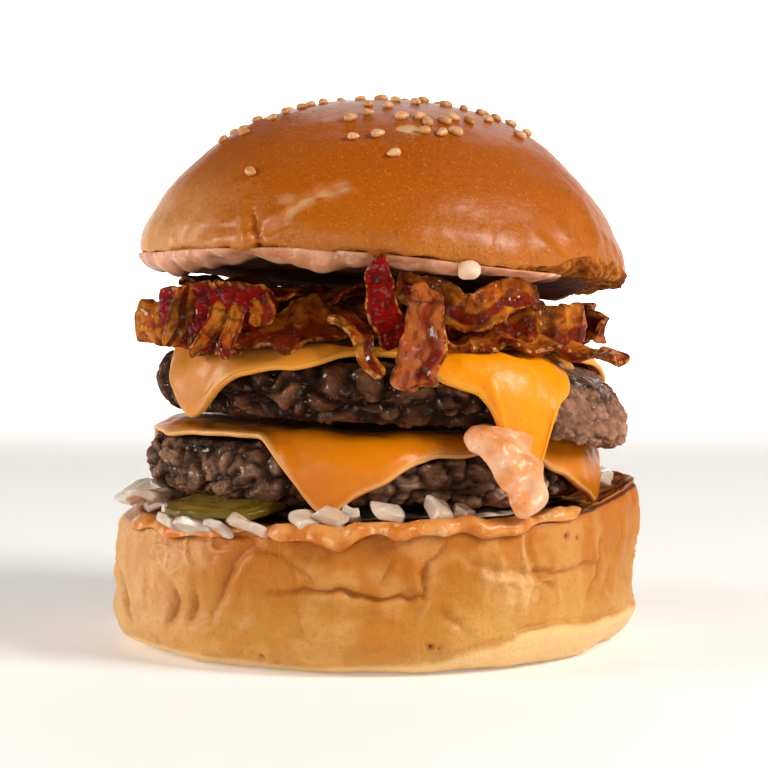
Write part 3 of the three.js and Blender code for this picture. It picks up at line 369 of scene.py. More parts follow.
def drift(points, size, seed):
    """Three smooth noises as the parts of a vector."""
    return np.stack([swell(points, size, seed + n) for n in range(3)], -1)


def ridges(points, upright, size, power, seed, patch, low, high):
    """Thin lines where noise crosses zero: 1 less its height, to a power, kept where a wider noise is
    high."""
    thin = (1 - np.abs(swell(points * [1, 1, upright], size, seed))) ** power
    return thin * smooth(swell(points, patch, seed + 1), low, high)


def crumb_relief(points, size, pit, seed):
    """Torn crumb: fine noise, less a pit round each of scattered points."""
    return 0.7 * grain(points, size, 3, seed) - 0.5 * smooth(lumps(points, pit, seed + 1)[0], 0.45, 0.1)


def ends_fade(along, power):
    """The strength of a crease along it: a power of half a sine wave, from 0.3 at its ends to 1."""
    return 0.3 + 0.7 * np.sin(np.pi * np.clip(along, 0.02, 0.98)) ** power


def triples(x, y, z):
    """Points from three arrays or numbers, spread to one shape."""
    return np.stack(np.broadcast_arrays(x, y, z), -1)


def round_z(radius, a, z):
    """Points at a radius and at an angle in radians round the Z axis."""
    return triples(radius * np.cos(a), radius * np.sin(a), z)


def axis_turn(axis, degrees):
    """The matrix of a turn about X, Y or Z, which are 0, 1 and 2."""
    i, j, turn = (axis + 1) % 3, (axis + 2) % 3, math.radians(degrees)
    made = np.eye(3)
    made[i, i] = made[j, j] = math.cos(turn)
    made[j, i], made[i, j] = math.sin(turn), -math.sin(turn)
    return made


def ring_grid(columns, shares):
    """Angles round a ring and the given shares, as two arrays with a row for each share."""
    return np.meshgrid(np.arange(columns) * 360 / columns, shares)


def outward(points):
    """Unit normals of a ring grid: the step round it crossed with the step along it."""
    n = np.cross(np.roll(points, -1, 1) - np.roll(points, 1, 1), np.gradient(points, axis=0))
    n[0], n[-1] = n[1].mean(0), n[-2].mean(0)
    return n / np.maximum(np.linalg.norm(n, axis=-1, keepdims=True), 1e-9)


def skin_faces(rings, columns, first):
    """A skin's faces as vertex numbers: fans at the two poles, and quads between rings."""
    column = np.arange(columns)
    after = (column + 1) % columns
    ring = 1 + columns * np.arange(rings - 3)[:, None]
    quads = np.stack([ring + column, ring + after, ring + columns + after, ring + columns + column], -1)
    last = 1 + columns * (rings - 2)
    low = np.stack([column * 0, 1 + after, 1 + column], -1)
    high = np.stack([column * 0 + last, last - columns + column, last - columns + after], -1)
    return (quads.reshape(-1, 4) + first).tolist() + (low + first).tolist() + (high + first).tolist()


def volume(points):
    """Six times the volume a ring grid encloses, its sign telling which way the faces turn."""
    a, b = points[:-1], points[1:]
    c, d = np.roll(a, -1, 1), np.roll(b, -1, 1)
    return np.sum(a * np.cross(c, d)) + np.sum(a * np.cross(d, b))


def once(grid):
    """The rows of a ring grid as one list, with each pole kept once."""
    return np.concatenate([grid[0, :1], grid[1:-1].reshape(-1, *grid.shape[2:]), grid[-1, :1]])


def piece(name, skins, material, node=None):
    """One mesh from closed skins, each a ring grid in millimetres with values kept on its points."""
    places, faces, values, first = [], [], {}, 0
    for points, extra in skins:
        if volume(points) < 0:
            points, extra = points[:, ::-1], {k: v[:, ::-1] for k, v in extra.items()}
        places.append(once(points))
        for key, value in extra.items():
            values.setdefault(key, []).append(once(value))
        faces += skin_faces(points.shape[0], points.shape[1], first)
        first += len(places[-1])
    mesh = bpy.data.meshes.new(name)
    mesh.from_pydata((np.concatenate(places) / 1000).tolist(), [], faces)
    for key, value in values.items():
        data = mesh.attributes.new(key, "FLOAT", "POINT").data
        data.foreach_set("value", np.concatenate(value).astype(np.float32))
    mesh.polygons.foreach_set("use_smooth", np.ones(len(faces), bool))
    mesh.update()
    made = bpy.data.objects.new(name, mesh)
    bpy.context.scene.collection.objects.link(made)
    made.data.materials.append(material)
    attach(made, "root")
    if node:
        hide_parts(node)
    return made


def line_distance(angle, height, line, arc):
    """The distance to a line of (angle, height) points laid out flat, the side of it, and the share
    along."""
    best, side, along = np.full(angle.shape, 1e9), np.zeros(angle.shape), np.zeros(angle.shape)
    for n, (a, b) in enumerate(zip(line[:-1], line[1:])):
        u, v = turned(a[0], angle) * arc, height - a[1]
        du, dv = turned(a[0], b[0]) * arc, b[1] - a[1]
        share = np.clip((u * du + v * dv) / (du * du + dv * dv), 0, 1)
        away = np.hypot(u - share * du, v - share * dv)
        closer = away < best
        side = np.where(closer, np.sign(du * v - dv * u), side)
        along = np.where(closer, (n + share) / (len(line) - 1), along)
        best = np.where(closer, away, best)
    return best, side, along


def bed_height(x, y):
    """Height of the bottom bun's cut face: level, then rising to the rim as the 7th power of the radius."""
    rise = RIM_RISE["mean"] + (RIM_RISE["right"] * x + RIM_RISE["back"] * y) / BED_RADIUS
    angle = np.degrees(np.arctan2(y, x))
    rise = rise - 2.0 * bell(turned(-55, angle), 20) + 0.9 * bell(turned(-14, angle), 16)
    return BED_HEIGHT + rise * np.minimum(1, np.hypot(x, y) / BED_RADIUS) ** 7


def cut_height(x, y):
    """Height of the top bun's cut face: a plane that falls to the right and to the back."""
    return CUT_HEIGHT - CUT_FALL["right"] * x - CUT_FALL["back"] * y


def cut_wave(angle, radius):
    """How the cut face waves towards its rim: four waves round it, growing with the radius."""
    return 0.01 * radius * np.cos(np.radians(4 * angle + 57))


def bottom_round(angle):
    """How far the bottom bun is out of round: 1 plus waves of two, three and five to a turn."""
    a = np.radians(angle)
    return 1 + 0.008 * np.cos(2 * a + 0.6) + 0.006 * np.cos(3 * a + 2) + 0.005 * np.cos(5 * a)


def bottom_bun():
    """The heel: a wall curve turned round and leaned, and a dished cut face. Noise and thin ridges stand
    out along the normals of the wall; veins, specks and a bell curve across each crease sink in. The pale
    underside stands out in front, and the cut face is rough inside the crumb's edge."""
    foot, wall, arc = 0.125, 0.6875, math.radians(54.5)
    shares = np.concatenate([
        np.linspace(0, foot, 6)[:-1], np.linspace(foot, wall, 120)[:-1],
        wall + (1 - wall) * np.linspace(0, 1, 34) ** 1.7,
    ])
    angle, t = ring_grid(610, shares)
    a = np.radians(angle)
    wall_r, wall_z = np.moveaxis(curve_through(BOTTOM_WALL, (t - foot) / (wall - foot)), -1, 0)
    top, wall_top = bed_height(BED_RADIUS * np.cos(a), BED_RADIUS * np.sin(a)), BOTTOM_WALL[-1][1]
    wall_z = wall_z * (1 + (top - wall_top) / wall_top * smooth(wall_z, 8, 25))
    inward = np.clip((t - wall) / (1 - wall), 0, 1)
    bed_r = (BED_RADIUS - 0.8) * (1 - inward**2.2)
    radius = np.select([t <= foot, t <= wall], [40 * t / foot, wall_r], bed_r)
    radius = radius * bottom_round(angle)
    lean = BOTTOM_LEAN["foot"] + (BOTTOM_LEAN["rim"] - BOTTOM_LEAN["foot"]) * wall_z / 28
    lean = np.select([t <= foot, t <= wall], [BOTTOM_LEAN["foot"], lean], BOTTOM_LEAN["rim"])
    x, y = radius * np.cos(a), radius * np.sin(a) * np.where(t <= foot, 1, HEEL_DEPTH)
    z = np.select([t <= foot, t <= wall], [0 * t, wall_z], bed_height(x, y))
    points = triples(lean + x, y, z)
    normal = outward(points)
    on_wall = smooth(t, foot, foot + 0.06) * (1 - smooth(t, wall - 0.03, wall))
    broad = swell(points, 9, 6)
    relief = 0.5 * swell(points, 26, 5) + 0.42 * broad + 0.14 * grain(points, 3.2, 3, 7) * smooth(z, 2, 8)
    relief = relief + 0.35 * swell(points * [1, 1, 0.3], 7, 8) * smooth(angle % 360, 300, 345)
    veins = ridges(points, 0.7, 10, 14, 13, 17, -0.25, 0.45)
    veins = veins + 0.6 * ridges(points, 0.5, 5, 12, 15, 14, 0, 0.5)
    veins = veins * (0.4 + 0.6 * smooth(z, 8, 14))
    # Thin raised ridges; the finish also lightens them as a painted highlight.
    raised = ridges(points, 0.6, 8, 18, 24, 13, -0.15, 0.4)
    raised = raised + 0.7 * ridges(points, 0.8, 4.2, 14, 26, 11, 0, 0.5)
    raised = raised * smooth(z, 8, 14)
    relief = relief + 0.85 * (raised - veins)
    relief = relief + 0.22 * np.abs(swell(points, 3.4, 17)) + 0.14 * np.abs(swell(points, 1.9, 22))
    # Darkness for the finish: painted shade in the veins and creases, and the specks' own dark colour.
    crease = 0.35 * veins
    worn = smooth(broad + 0.8 * grain(points, 4.4, 3, 28), -0.1, 1.0)
    bent_angle = angle + (0.9 * swell(points, 6, 9) + 0.5 * swell(points, 2.2, 10)) / arc
    bent_z = z + 0.9 * swell(points, 6, 11) + 0.5 * swell(points, 2.2, 18)
    for line, deep, wide, above, below in CREASES:
        away, side, along = line_distance(bent_angle, bent_z, line, arc)
        fade = ends_fade(along, 0.7)
        relief = relief - fade * deep * (0.75 * bell(away, 0.62 * wide) + 0.35 * bell(away, 2.4 * wide))
        relief = relief + fade * np.where(side > 0, above, below) * bell(away - 1.9 * wide, 1.3 * wide)
        crease = np.maximum(crease, fade * min(1, deep) * bell(away, 0.6 * wide))
    for at, high, size in HEEL_SPECKS:
        spot = bell(np.hypot(turned(at, angle) * arc, z - high) + 0.3 * swell(points, 1.2, 29), size)
        crease, relief = np.maximum(crease, 1.4 * spot), relief - 0.4 * spot
    lap = ring_line(LAP_LINE, angle) - z + 0.5 * swell(points, 6, 12)
    relief = relief + 0.55 * smooth(lap, -0.6, 0.5) * bell(turned(-38, angle), 34)
    relief = relief - 0.4 * bell(lap + 0.7, 0.5) * bell(turned(-20, angle), 80)
    right = smooth(np.cos(np.radians(angle + 14)), 0.5, 0.85)
    seen = np.maximum(right, 0.55 * smooth(np.sin(a), -0.2, 0.5))
    crumb_start = 51.2 + 2.0 * seen + 0.8 * swell(points, 5, 19)
    crumb = smooth(crumb_start - np.hypot(x, y), -0.7, 0.7) * smooth(t, wall - 0.01, wall)
    rough = crumb_relief(points, 2.6, 2.4, 20)
    points = points + normal * (relief * on_wall + 0.55 * rough * crumb)[..., None]
    edge = bell(t - wall + 0.038, 0.032) * (1 + 0.35 * swell(points, 5, 30))
    fade = 1 - smooth(wall - t, 0.03, 0.15 + 0.02 * swell(points * [1, 1, 0.2], 7, 32))
    edge = np.maximum(edge, 0.42 * fade**2 * (t <= wall))
    points[..., 2] = np.where(t <= foot, 0, np.maximum(points[..., 2], 0))
    return points, {
        "crumb": crumb, "toast": np.clip(edge * seen, 0, 1), "crease": np.clip(crease * on_wall, 0, 1.4),
        "raised": np.clip(raised * on_wall, 0, 1), "worn": worn * on_wall,
        "lap": smooth(lap, -0.4, 0.8) * on_wall,
    }


def dome_share(radius):
    """The share of the dome's height at a radius, read from its outline."""
    outline = curve_through(DOME_WALL, np.linspace(0.12, 1, 800))
    return np.interp(radius, outline[::-1, 0], outline[::-1, 1])


def dome_round(angle):
    """How far the top bun is out of round."""
    a = np.radians(angle)
    return 1 + 0.008 * np.cos(2 * a + 2.2) + 0.007 * np.cos(3 * a) + 0.004 * np.cos(7 * a + 1)


def dome_height(x, y):
    """Height of the dome over a point."""
    angle = np.degrees(np.arctan2(y, x - TOP_SHIFT))
    share = dome_share(np.hypot(x - TOP_SHIFT, y) / dome_round(angle))
    base = cut_height(x, y)
    return base + (DOME_TOP - base) * share


# Wrinkles of the dome as seen from the front: (x, z) points, depth, width, lift on the left and right.
DOME_WRINKLES = [
    ([(-23.9, 90), (-23.2, 86), (-22.4, 81)], 1.1, 0.9, 1.4, -0.1),
    ([(-21, 86), (-17.5, 87.5), (-15, 90.5)], 0.8, 0.8, 0.2, 0.7),
    ([(-17, 91), (-12, 93), (-6, 94.2)], 0.35, 0.7, 0.3, 0.2),
    ([(-28.5, 84), (-29.5, 80), (-31, 77)], 0.5, 1.6, 0.4, 0.3),
    ([(-34.5, 88), (-36, 82), (-38, 79)], 0.35, 1.8, 0.3, 0.3),
    ([(34, 86), (37, 83), (40.5, 79.5)], 0.5, 1.2, 0.3, 0.3),
    ([(39.5, 90), (41, 85), (41.5, 81)], 0.4, 1.4, 0.2, 0.4),
    ([(45, 86), (46.2, 83.5)], 0.3, 0.35, 0.1, 0.1),
    ([(47.6, 84), (48.8, 80.6)], 0.35, 0.35, 0.1, 0.1),
    ([(42.8, 81.5), (43.6, 79)], 0.3, 0.35, 0.1, 0.1),
]
# Pores: x, z and size. The peeled line: x and z.
DOME_PORES = [(-10.4, 94.8, 0.55), (-13.9, 91.5, 0.8), (-3.4, 93.4, 0.5), (1.5, 100.5, 0.6)]
DOME_PEEL = [(-21.5, 85.0), (-18, 88.0), (-14.5, 91.2), (-11, 92.6), (-6.0, 94.4)]


def top_bun():
    """The crown: an underside that follows the cut, then a dome outline turned round, with a notch, a
    dent and a torn edge low down. Along its normals it has noise, furrows, a bell curve across each
    wrinkle, pores, a crinkled patch, a scar, and crumb where the skin ends above the cut."""
    face = 0.2
    shares = np.concatenate([
        face * np.linspace(0, 1, 46)[:-1] ** 0.6, face + (1 - face) * np.linspace(0, 1, 170) ** 1.15,
    ])
    angle, t = ring_grid(450, shares)
    a, round_ = np.radians(angle), dome_round(angle)
    r, share = np.moveaxis(curve_through(DOME_WALL, (t - face) / (1 - face)), -1, 0)
    share = np.where(t <= face, 0, share)
    dent = 1.1 * bell(turned(-126, angle), 9) * smooth(share, 0.05, 0.15) * smooth(0.55 - share, 0, 0.3)
    dome = r * round_ * (1 + 0.004 * np.cos(9 * a) * (1 - share)) - dent
    radius = np.where(t > face, dome, CUT_RADIUS * round_ * t / face)
    x, y = TOP_SHIFT + radius * np.cos(a), radius * np.sin(a)
    notch = 1.9 * bell(turned(-40, angle), 4.5) * (1 - smooth(share, 0, 0.16)) * smooth(t, face - 0.01, face)
    torn = 0.45 * grain(triples(x, y, 0), 5, 3, 41) * (1 - smooth(share, 0, 0.05)) * smooth(radius, 44, 50)
    base = cut_height(x, y) + cut_wave(angle, radius) * (1 - share) + notch + torn
    z = base + (DOME_TOP - base) * share
    points = triples(x, y, z)
    normal, front = outward(points), smooth(-y, 0, 12)
    relief = 0.35 * swell(points, 22, 44) + 0.22 * swell(points, 8, 45) + 0.06 * grain(points, 2.6, 3, 46)
    low = 1 - smooth(share, 0.1, 0.4)
    relief = relief + 0.35 * low * swell(points * [1, 1, 0.25], 6.5, 47)
    relief = relief - 0.3 * low * (1 - np.abs(swell(points * [1, 1, 0.3], 9, 56))) ** 10
    hollow = np.zeros(x.shape)
    for line, deep, wide, left, right in DOME_WRINKLES:
        away, side, along = line_distance(x, z, line, 1.0)
        away = away + 0.4 * swell(points, 2.5, 48)
        fade = front * ends_fade(along, 0.6)
        relief = relief - fade * deep * bell(away, wide)
        relief = relief + fade * np.where(side > 0, right, left) * bell(away - 2.0 * wide, 1.2 * wide)
        hollow = np.maximum(hollow, fade * min(1, deep) * bell(away, wide))
    crinkle = front * bell(np.hypot(x + 14, (z - 90.5) * 1.6), 8.5)
    creased = swell(points, 3.4, 49)
    relief = relief + crinkle * (0.35 * np.abs(creased) - 0.1)
    for px, pz, size in DOME_PORES:
        pore = front * bell(np.hypot(x - px, z - pz), size)
        relief, hollow = relief - 0.5 * size * pore, np.maximum(hollow, pore)
    scar = bell(np.hypot((x - 7.4) / 1.7, y + 31), 2.0) * (1 + 0.6 * swell(points, 2.2, 50))
    relief = relief - 0.25 * smooth(scar, 0.45, 0.6) + 0.25 * bell(np.hypot(x + 10.2, y + 28.1), 1.9)
    bare = 0.078 * bell(turned(-26, angle), 25) + 0.012
    bare = bare * (1 + 0.5 * swell(points * [1, 1, 0.4], 3, 53))
    crumb = 1 - smooth(share, bare - 0.006, bare + 0.004) * smooth(t, face, face + 0.008)
    rough = crumb_relief(points, 2.4, 2.2, 51)
    points = points + normal * (relief * smooth(t, face, face + 0.03) + 0.5 * rough * crumb)[..., None]
    peel = line_distance(x, z, DOME_PEEL, 1.0)[0]
    peel = front * bell(peel + 0.5 * swell(points, 2.0, 54), 1.0) * smooth(swell(points, 2.6, 55), -0.4, 0.3)
    patch = np.maximum(smooth(scar, 0.45, 0.62), 0.8 * peel)
    patch = np.maximum(patch, 0.4 * smooth(crinkle, 0.3, 0.9) * smooth(swell(points, 3.4, 49), -0.1, 0.5))
    hollow, patch = np.clip(hollow, 0, 1), np.clip(patch, 0, 1)
    return points, {"crumb": crumb, "hollow": hollow, "patch": patch, "rise": share}


def seed_skins():
    """Teardrop seeds on the dome: a blunt end and a thin end round a long axis, flattened on the crust."""
    count, golden_turn = 46, 137.508
    rule = np.arange(count)
    turn = np.radians(-90 + golden_turn * rule)
    out = 3 + 32 * ((rule + 0.5) / count) ** 0.62
    spread = np.stack([TOP_SHIFT + out * np.cos(turn), out * np.sin(turn)], -1)
    spread = spread[spread[:, 1] > -3]
    spots = np.concatenate([np.array(SEEDS_FRONT), spread])
    number = np.arange(len(spots))
    draw = lambda n: draws_at(number, number * 0, number * 0, 60 + n)
    x, y = spots.T + 0.5 * np.stack([draw(0) - 0.5, draw(1) - 0.5])
    z, e = dome_height(x, y), 0.3
    fall_x = dome_height(x - e, y) - dome_height(x + e, y)
    fall_y = dome_height(x, y - e) - dome_height(x, y + e)
    normal = triples(fall_x / (2 * e), fall_y / (2 * e), 1)
    normal /= np.linalg.norm(normal, axis=-1, keepdims=True)
    turn = 2 * np.pi * draw(2)
    side = np.where(y < -15, 0.8, 1.0)
    long = triples(np.cos(turn), side * np.sin(turn), 0)
    long -= normal * np.sum(long * normal, -1, keepdims=True)
    long /= np.linalg.norm(long, axis=-1, keepdims=True)
    cross = np.cross(normal, long)
    angle, t = ring_grid(14, np.linspace(0, 1, 10))
    a, size = np.radians(angle), 0.8 + 0.24 * draw(3)
    body = np.sin(np.pi * t) ** 0.8 * (1 + 0.3 * np.cos(np.pi * t))
    skins = []
    for n in number:
        local = triples(-1.5 * np.cos(np.pi * t), body * np.cos(a), 0.8 * body * np.sin(a)) * size[n]
        points = np.array([x[n], y[n], z[n]]) + normal[n] * 0.5
        points = points + local @ np.stack([long[n], cross[n], normal[n]])
        skins.append((points, {"tone": np.full(a.shape, draw(4)[n])}))
    return skins


def patty_radius(patty, angle):
    """A patty's radius: waves of three, five and nine to a turn."""
    a, p = np.radians(angle), patty["phase"]
    waves = 0.012 * np.cos(3 * a + p) + 0.009 * np.cos(5 * a + 2 * p) + 0.006 * np.cos(9 * a + p)
    return patty["radius"] * (1 + waves)


def patty_droop(patty, angle, radius):
    """How far the right edge hangs down where nothing holds it up."""
    return patty["droop"] * smooth(radius * np.cos(np.radians(angle + 14)), 30, 56)


def seated(patty, points):
    """Points of a patty's own frame set in the stack: turned about Y, then X, then moved."""
    turn = axis_turn(0, -PATTY_TILT_BACK) @ axis_turn(1, patty["tilt"])
    return points @ turn.T + [patty["x"], 0, patty["z"]]


def patty_skin(patty, seed):
    """Ground meat: a disc with a half-round edge. Along its normals each of three sizes of lump rises as
    its middle is near and sinks where two meet; where the meat is fine, the small lumps count for
    more."""
    flat, bend = 12, 104
    face = np.linspace(0, 1, flat) ** 0.8
    share = np.concatenate([face, np.ones(bend), face[::-1]])
    turn = np.concatenate([np.full(flat, -90), np.linspace(-90, 90, bend + 2)[1:-1], np.full(flat, 90)])
    angle, share = ring_grid(620, share)
    turn = np.broadcast_to(np.radians(turn)[:, None], angle.shape)
    a = np.radians(angle)
    radius = share * (patty_radius(patty, angle) - PATTY_EDGE) + PATTY_EDGE * np.cos(turn)
    z = (patty["thick"] / 2) * np.sin(turn) - patty_droop(patty, angle, radius)
    points = round_z(radius, a, z)
    normal = outward(points)
    bent = points + 2.8 * drift(points, 6.0, seed + 1) + 0.8 * drift(points, 2.2, seed + 7)
    near, second, tone = lumps(bent, 6.8, seed + 10)
    near2, second2, tone2 = lumps(bent + 3, 3.5, seed + 20)
    near3, second3, _ = lumps(bent + 7, 1.6, seed + 25)
    # On the upper patty the fine meat is its right side, where the finish's paler tint is partly painted
    # light.
    fine = smooth(points[..., 0], 22, 38) if patty["droop"] else 0.25 * (1 + swell(points, 14, seed + 4))
    gap, gap2 = smooth(second - near, 0.0, 0.42), smooth(second2 - near2, 0.0, 0.5)
    relief = -1.0 * (1 - gap) ** 1.8 * (1 - 0.7 * fine) + 2.2 * (0.32 - near**2) * (1 - 0.6 * fine)
    relief = relief - (0.25 + 0.2 * fine) * (1 - gap2) ** 1.3 + (0.7 + 0.4 * fine) * (0.32 - near2**2)
    relief = relief + (0.36 + 0.2 * fine) * (0.3 - near3**2) - 0.1 * (1 - smooth(second3 - near3, 0, 0.4))
    relief = relief + 0.6 * swell(points, 12, seed + 5) + 0.3 * grain(points, 2.4, 4, seed + 6)
    relief = 0.45 - np.logaddexp(0, 2.2 * (0.75 - relief)) / 2.2
    relief = np.maximum(relief, -3.4 + 2.8 * smooth(np.abs(np.sin(turn)), 0.7, 0.98))
    points = seated(patty, points + normal * relief[..., None])
    # Painted shade for the finish: near black in the gaps between lumps.
    crevice = np.clip((1 - gap) * (1 - 0.6 * fine) * 0.9 + 0.25 * (1 - gap2), 0, 1)
    char = smooth(np.sin(turn), 0.45, 0.95)
    return points, {
        "crevice": crevice, "tone": 0.6 * tone + 0.4 * tone2, "char": char, "fine": fine + 0 * tone,
    }


def melted_slice(patty, edge_table, seed, thin):
    """A slice over its patty: out under it at a small clearance, round a rounded lip, and back over the
    top. The path runs level, then a quarter turn round the patty's edge, then straight down to the
    slice's reach. It thins towards its edge, has a bead along it where it hangs, and noise ripples its
    upper side."""
    run = np.concatenate([np.linspace(0, 0.7, 10)[:-1], np.linspace(0.7, 1, 62)])
    sheet, half_turn = len(run), np.linspace(-np.pi / 2, np.pi / 2, 11)
    path = np.concatenate([run, 0 * half_turn + 1, run[::-1]])
    lip = np.concatenate([np.full(sheet, -1.0), np.sin(half_turn), np.full(sheet, 1.0)])[:, None]
    bulge = np.concatenate([np.zeros(sheet), np.cos(half_turn), np.zeros(sheet)])[:, None]
    angle, path = ring_grid(560, path)
    a = np.radians(angle)
    flat = patty_radius(patty, angle) - PATTY_EDGE
    reach = ring_line(edge_table, angle, 1.2)
    reach = reach + 0.2 * np.cos(np.radians(17 * angle + 40)) + 0.12 * np.cos(np.radians(29 * angle))
    s = path * reach
    to_edge = reach - s
    down = smooth(reach, flat + 6, flat + 13)
    thick = CHEESE_THICK * (0.62 + 0.3 * smooth(to_edge, 0, 7)) + 0.75 * down * bell(to_edge - 1.6, 2.6)
    thick = np.minimum(thick, CHEESE_THICK + 0.5) * (1 - thin * 0.35)
    offset = 2 * GAP + thick * (1 + lip) / 2
    around = np.clip((s - flat) / PATTY_EDGE, 0, np.pi / 2)
    fall = np.maximum(0, s - flat - PATTY_EDGE * np.pi / 2)
    along = np.minimum(s, flat)
    radius = along + (PATTY_EDGE + offset) * np.sin(around)
    z = (patty["thick"] / 2 + offset) * np.cos(around) - fall
    radius = radius + bulge * thick / 2 * np.cos(around)
    z = z - bulge * thick / 2 * np.sin(around) - patty_droop(patty, angle, radius)
    points = round_z(radius, a, z)
    normal = outward(points)
    ripple = 0.6 * swell(points, 9, seed) + 0.34 * swell(points, 4.2, seed + 1)
    ripple = ripple + 0.1 * swell(points, 2.6, seed + 2)
    ripple = ripple * (0.4 + 0.6 * smooth(s, flat - 8, flat)) * smooth(to_edge, 0, 2.5)
    points = points + normal * (np.maximum(ripple, -0.5) * (1 + lip) / 2)[..., None]
    # inside marks the part well within the stack, which the finish darkens as painted shade.
    edge, inside = bell(to_edge, 0.6) * (1 - 0.4 * down), 1 - smooth(s, flat - 9, flat - 2)
    return seated(patty, points), {"edge": edge, "inside": inside}


def two_sides(columns, count, power):
    """Angles, shares out to the rim below and back above, crowded at the rim, and 0 below and 1 above."""
    half = 1 - np.linspace(1, 0, count) ** power
    angle, out = ring_grid(columns, np.concatenate([half, half[::-1][1:]]))
    return angle, out, (np.arange(2 * count - 1) >= count)[:, None] * 1.0


def top_sauce():
    """Sauce under the crown: a thin layer that follows the cut face, drawn in at the right, that hangs at
    the rim by a sum of bell curves and closes there as the root of 1 less a high power of the share."""
    angle, out, above = two_sides(540, 44, 1.8)
    a = np.radians(angle)
    right = smooth(turned(-47, angle), 0, 15) * (1 - smooth(turned(-47, angle), 60, 90))
    edge = DOME_RADIUS - 0.7 - 7.5 * right + 0.5 * np.cos(6 * a + 1) + 0.3 * np.cos(13 * a)
    hang = ring_bumps(SAUCE_TOP_LOBES, angle)
    radius = (edge + 0.35 * np.minimum(hang, 2)) * out
    rounded = np.sqrt(np.clip(1 - out**10, 0, 1)) * np.where(out > 0.999, 0, 1)
    thick = 2.2 - 0.8 * bell(turned(-54, angle), 13) - 0.6 * bell(turned(-121, angle), 4)
    thick = thick + hang * smooth(out, 0.8, 0.93)
    top = 0.15 + 0.45 * smooth(out, 0.75, 0.95) - 0.5 * (1 - rounded) + cut_wave(angle, radius)
    x, y = TOP_SHIFT + radius * np.cos(a), radius * np.sin(a)
    points = triples(x, y, cut_height(x, y) + np.where(above > 0, top, top - thick * rounded))
    normal = outward(points)
    relief = 0.4 * swell(points, 5, 80) + 0.25 * swell(points, 2.2, 81)
    points = points + normal * (relief * (1 - above) * smooth(out, 0.1, 0.3))[..., None]
    # inside marks the sauce within the stack and the part drawn in at the right, darkened in the finish as
    # painted shade.
    return points, {"inside": np.maximum(1 - smooth(out, 0.86, 0.95), right)}


def blob(centre, size, seed):
    """A rounded blob: a ball stretched to the given half sizes, its radius lumped by noise."""
    angle, t = ring_grid(40, np.linspace(0, 1, 24))
    unit = round_z(np.sin(np.pi * t), np.radians(angle), -np.cos(np.pi * t))
    shape = unit * (1 + 0.1 * swell(unit * 3, 1.9, seed))[..., None]
    return np.array(centre) + shape * size, {"inside": np.full(t.shape, -1.0)}


def bottom_sauce():
    """Sauce on the heel: a thin layer that ends, by a sum of bell curves, on the bed or past the rim.
    Past the rim its path takes a quarter turn and runs down the wall, and a bead swells just inside its
    end."""
    angle, out, above = two_sides(540, 46, 1.7)
    a = np.radians(angle)
    rim, bend = BED_RADIUS + 0.2, 1.6
    end = rim - 3.2 + ring_bumps(SAUCE_BOTTOM_RUNS, angle) + 0.5 * np.cos(11 * a) + 0.3 * np.cos(23 * a + 1)
    reach = end * out
    bead = bell(end - reach - 1.3, 1.5) * smooth(end, rim - 2, rim + 1)
    bead = bead * (1 + 0.5 * swell(triples(a * 54, reach, 0), 4, 92))
    thick = 0.4 + 0.75 * 0.55 * smooth(reach, rim - 4, rim + 2) + bead
    clear = 0.3 + 2 * above * thick * np.sqrt(np.clip(1 - out**14, 0, 1))
    turn = np.clip((reach - rim + bend) / bend, 0, np.pi / 2)
    radius = (np.minimum(reach, rim - bend) + (bend + 1.0 + clear) * np.sin(turn)) * bottom_round(angle)
    down = np.maximum(0, reach - rim + bend - (np.pi / 2) * bend)
    x, y = radius * np.cos(a), radius * np.sin(a) * HEEL_DEPTH
    z = bed_height(x, y) - bend + (bend + clear) * np.cos(turn) - down
    points = triples(x + BOTTOM_LEAN["rim"], y, z)
    normal = outward(points)
    relief = 0.35 * swell(points, 4.5, 90) + 0.25 * swell(points, 2, 91)
    # inside marks the sauce on the bed within the rim, darkened in the finish as painted shade.
    return points + normal * (relief * above)[..., None], {"inside": 1 - smooth(reach, rim - 5, rim - 1)}


def along_route(route, across, share):
    """Points of a route, the way across it, the way out of it, and its slope, all square to one another."""
    centre, step = curve_through(route, share, True), 1e-3
    ahead, behind = np.clip(share + step, 0, 1), np.clip(share - step, 0, 1)
    slope = curve_through(route, ahead, True) - curve_through(route, behind, True)
    slope /= np.linalg.norm(slope, axis=-1, keepdims=True)
    side = read_along(across, share)
    side = side - slope * np.sum(side * slope, -1, keepdims=True)
    side /= np.linalg.norm(side, axis=-1, keepdims=True)
    return centre, side, np.cross(slope, side), slope


def sauce_tongue():
    """A thick tongue of sauce: an oval carried down its route, closed at both ends and lumped by noise."""
    angle, t = ring_grid(96, 0.5 - 0.5 * np.cos(np.pi * np.linspace(0, 1, 110)))
    a = np.radians(angle)
    centre, side, out, _ = along_route(SAUCE_RUN_ROUTE, [[1, 0.55, 0], [1, 0.55, 0]], t)
    closing = np.sqrt(np.clip(1 - (2 * t - 1) ** 6, 0, 1))
    wide = closing * curve_through(np.array(SAUCE_RUN_WIDE)[:, None], t)[..., 0]
    thick = closing * curve_through(np.array(SAUCE_RUN_THICK)[:, None], t)[..., 0]
    points = centre + side * (wide * np.cos(a))[..., None] + out * (thick * np.sin(a))[..., None]
    normal = outward(points)
    if volume(points) < 0:
        normal = -normal
    relief = 1.0 * swell(points, 5.0, 95) + 0.5 * swell(points, 2.6, 96)
    return points + normal * (relief * closing)[..., None], {"inside": 0 * t}


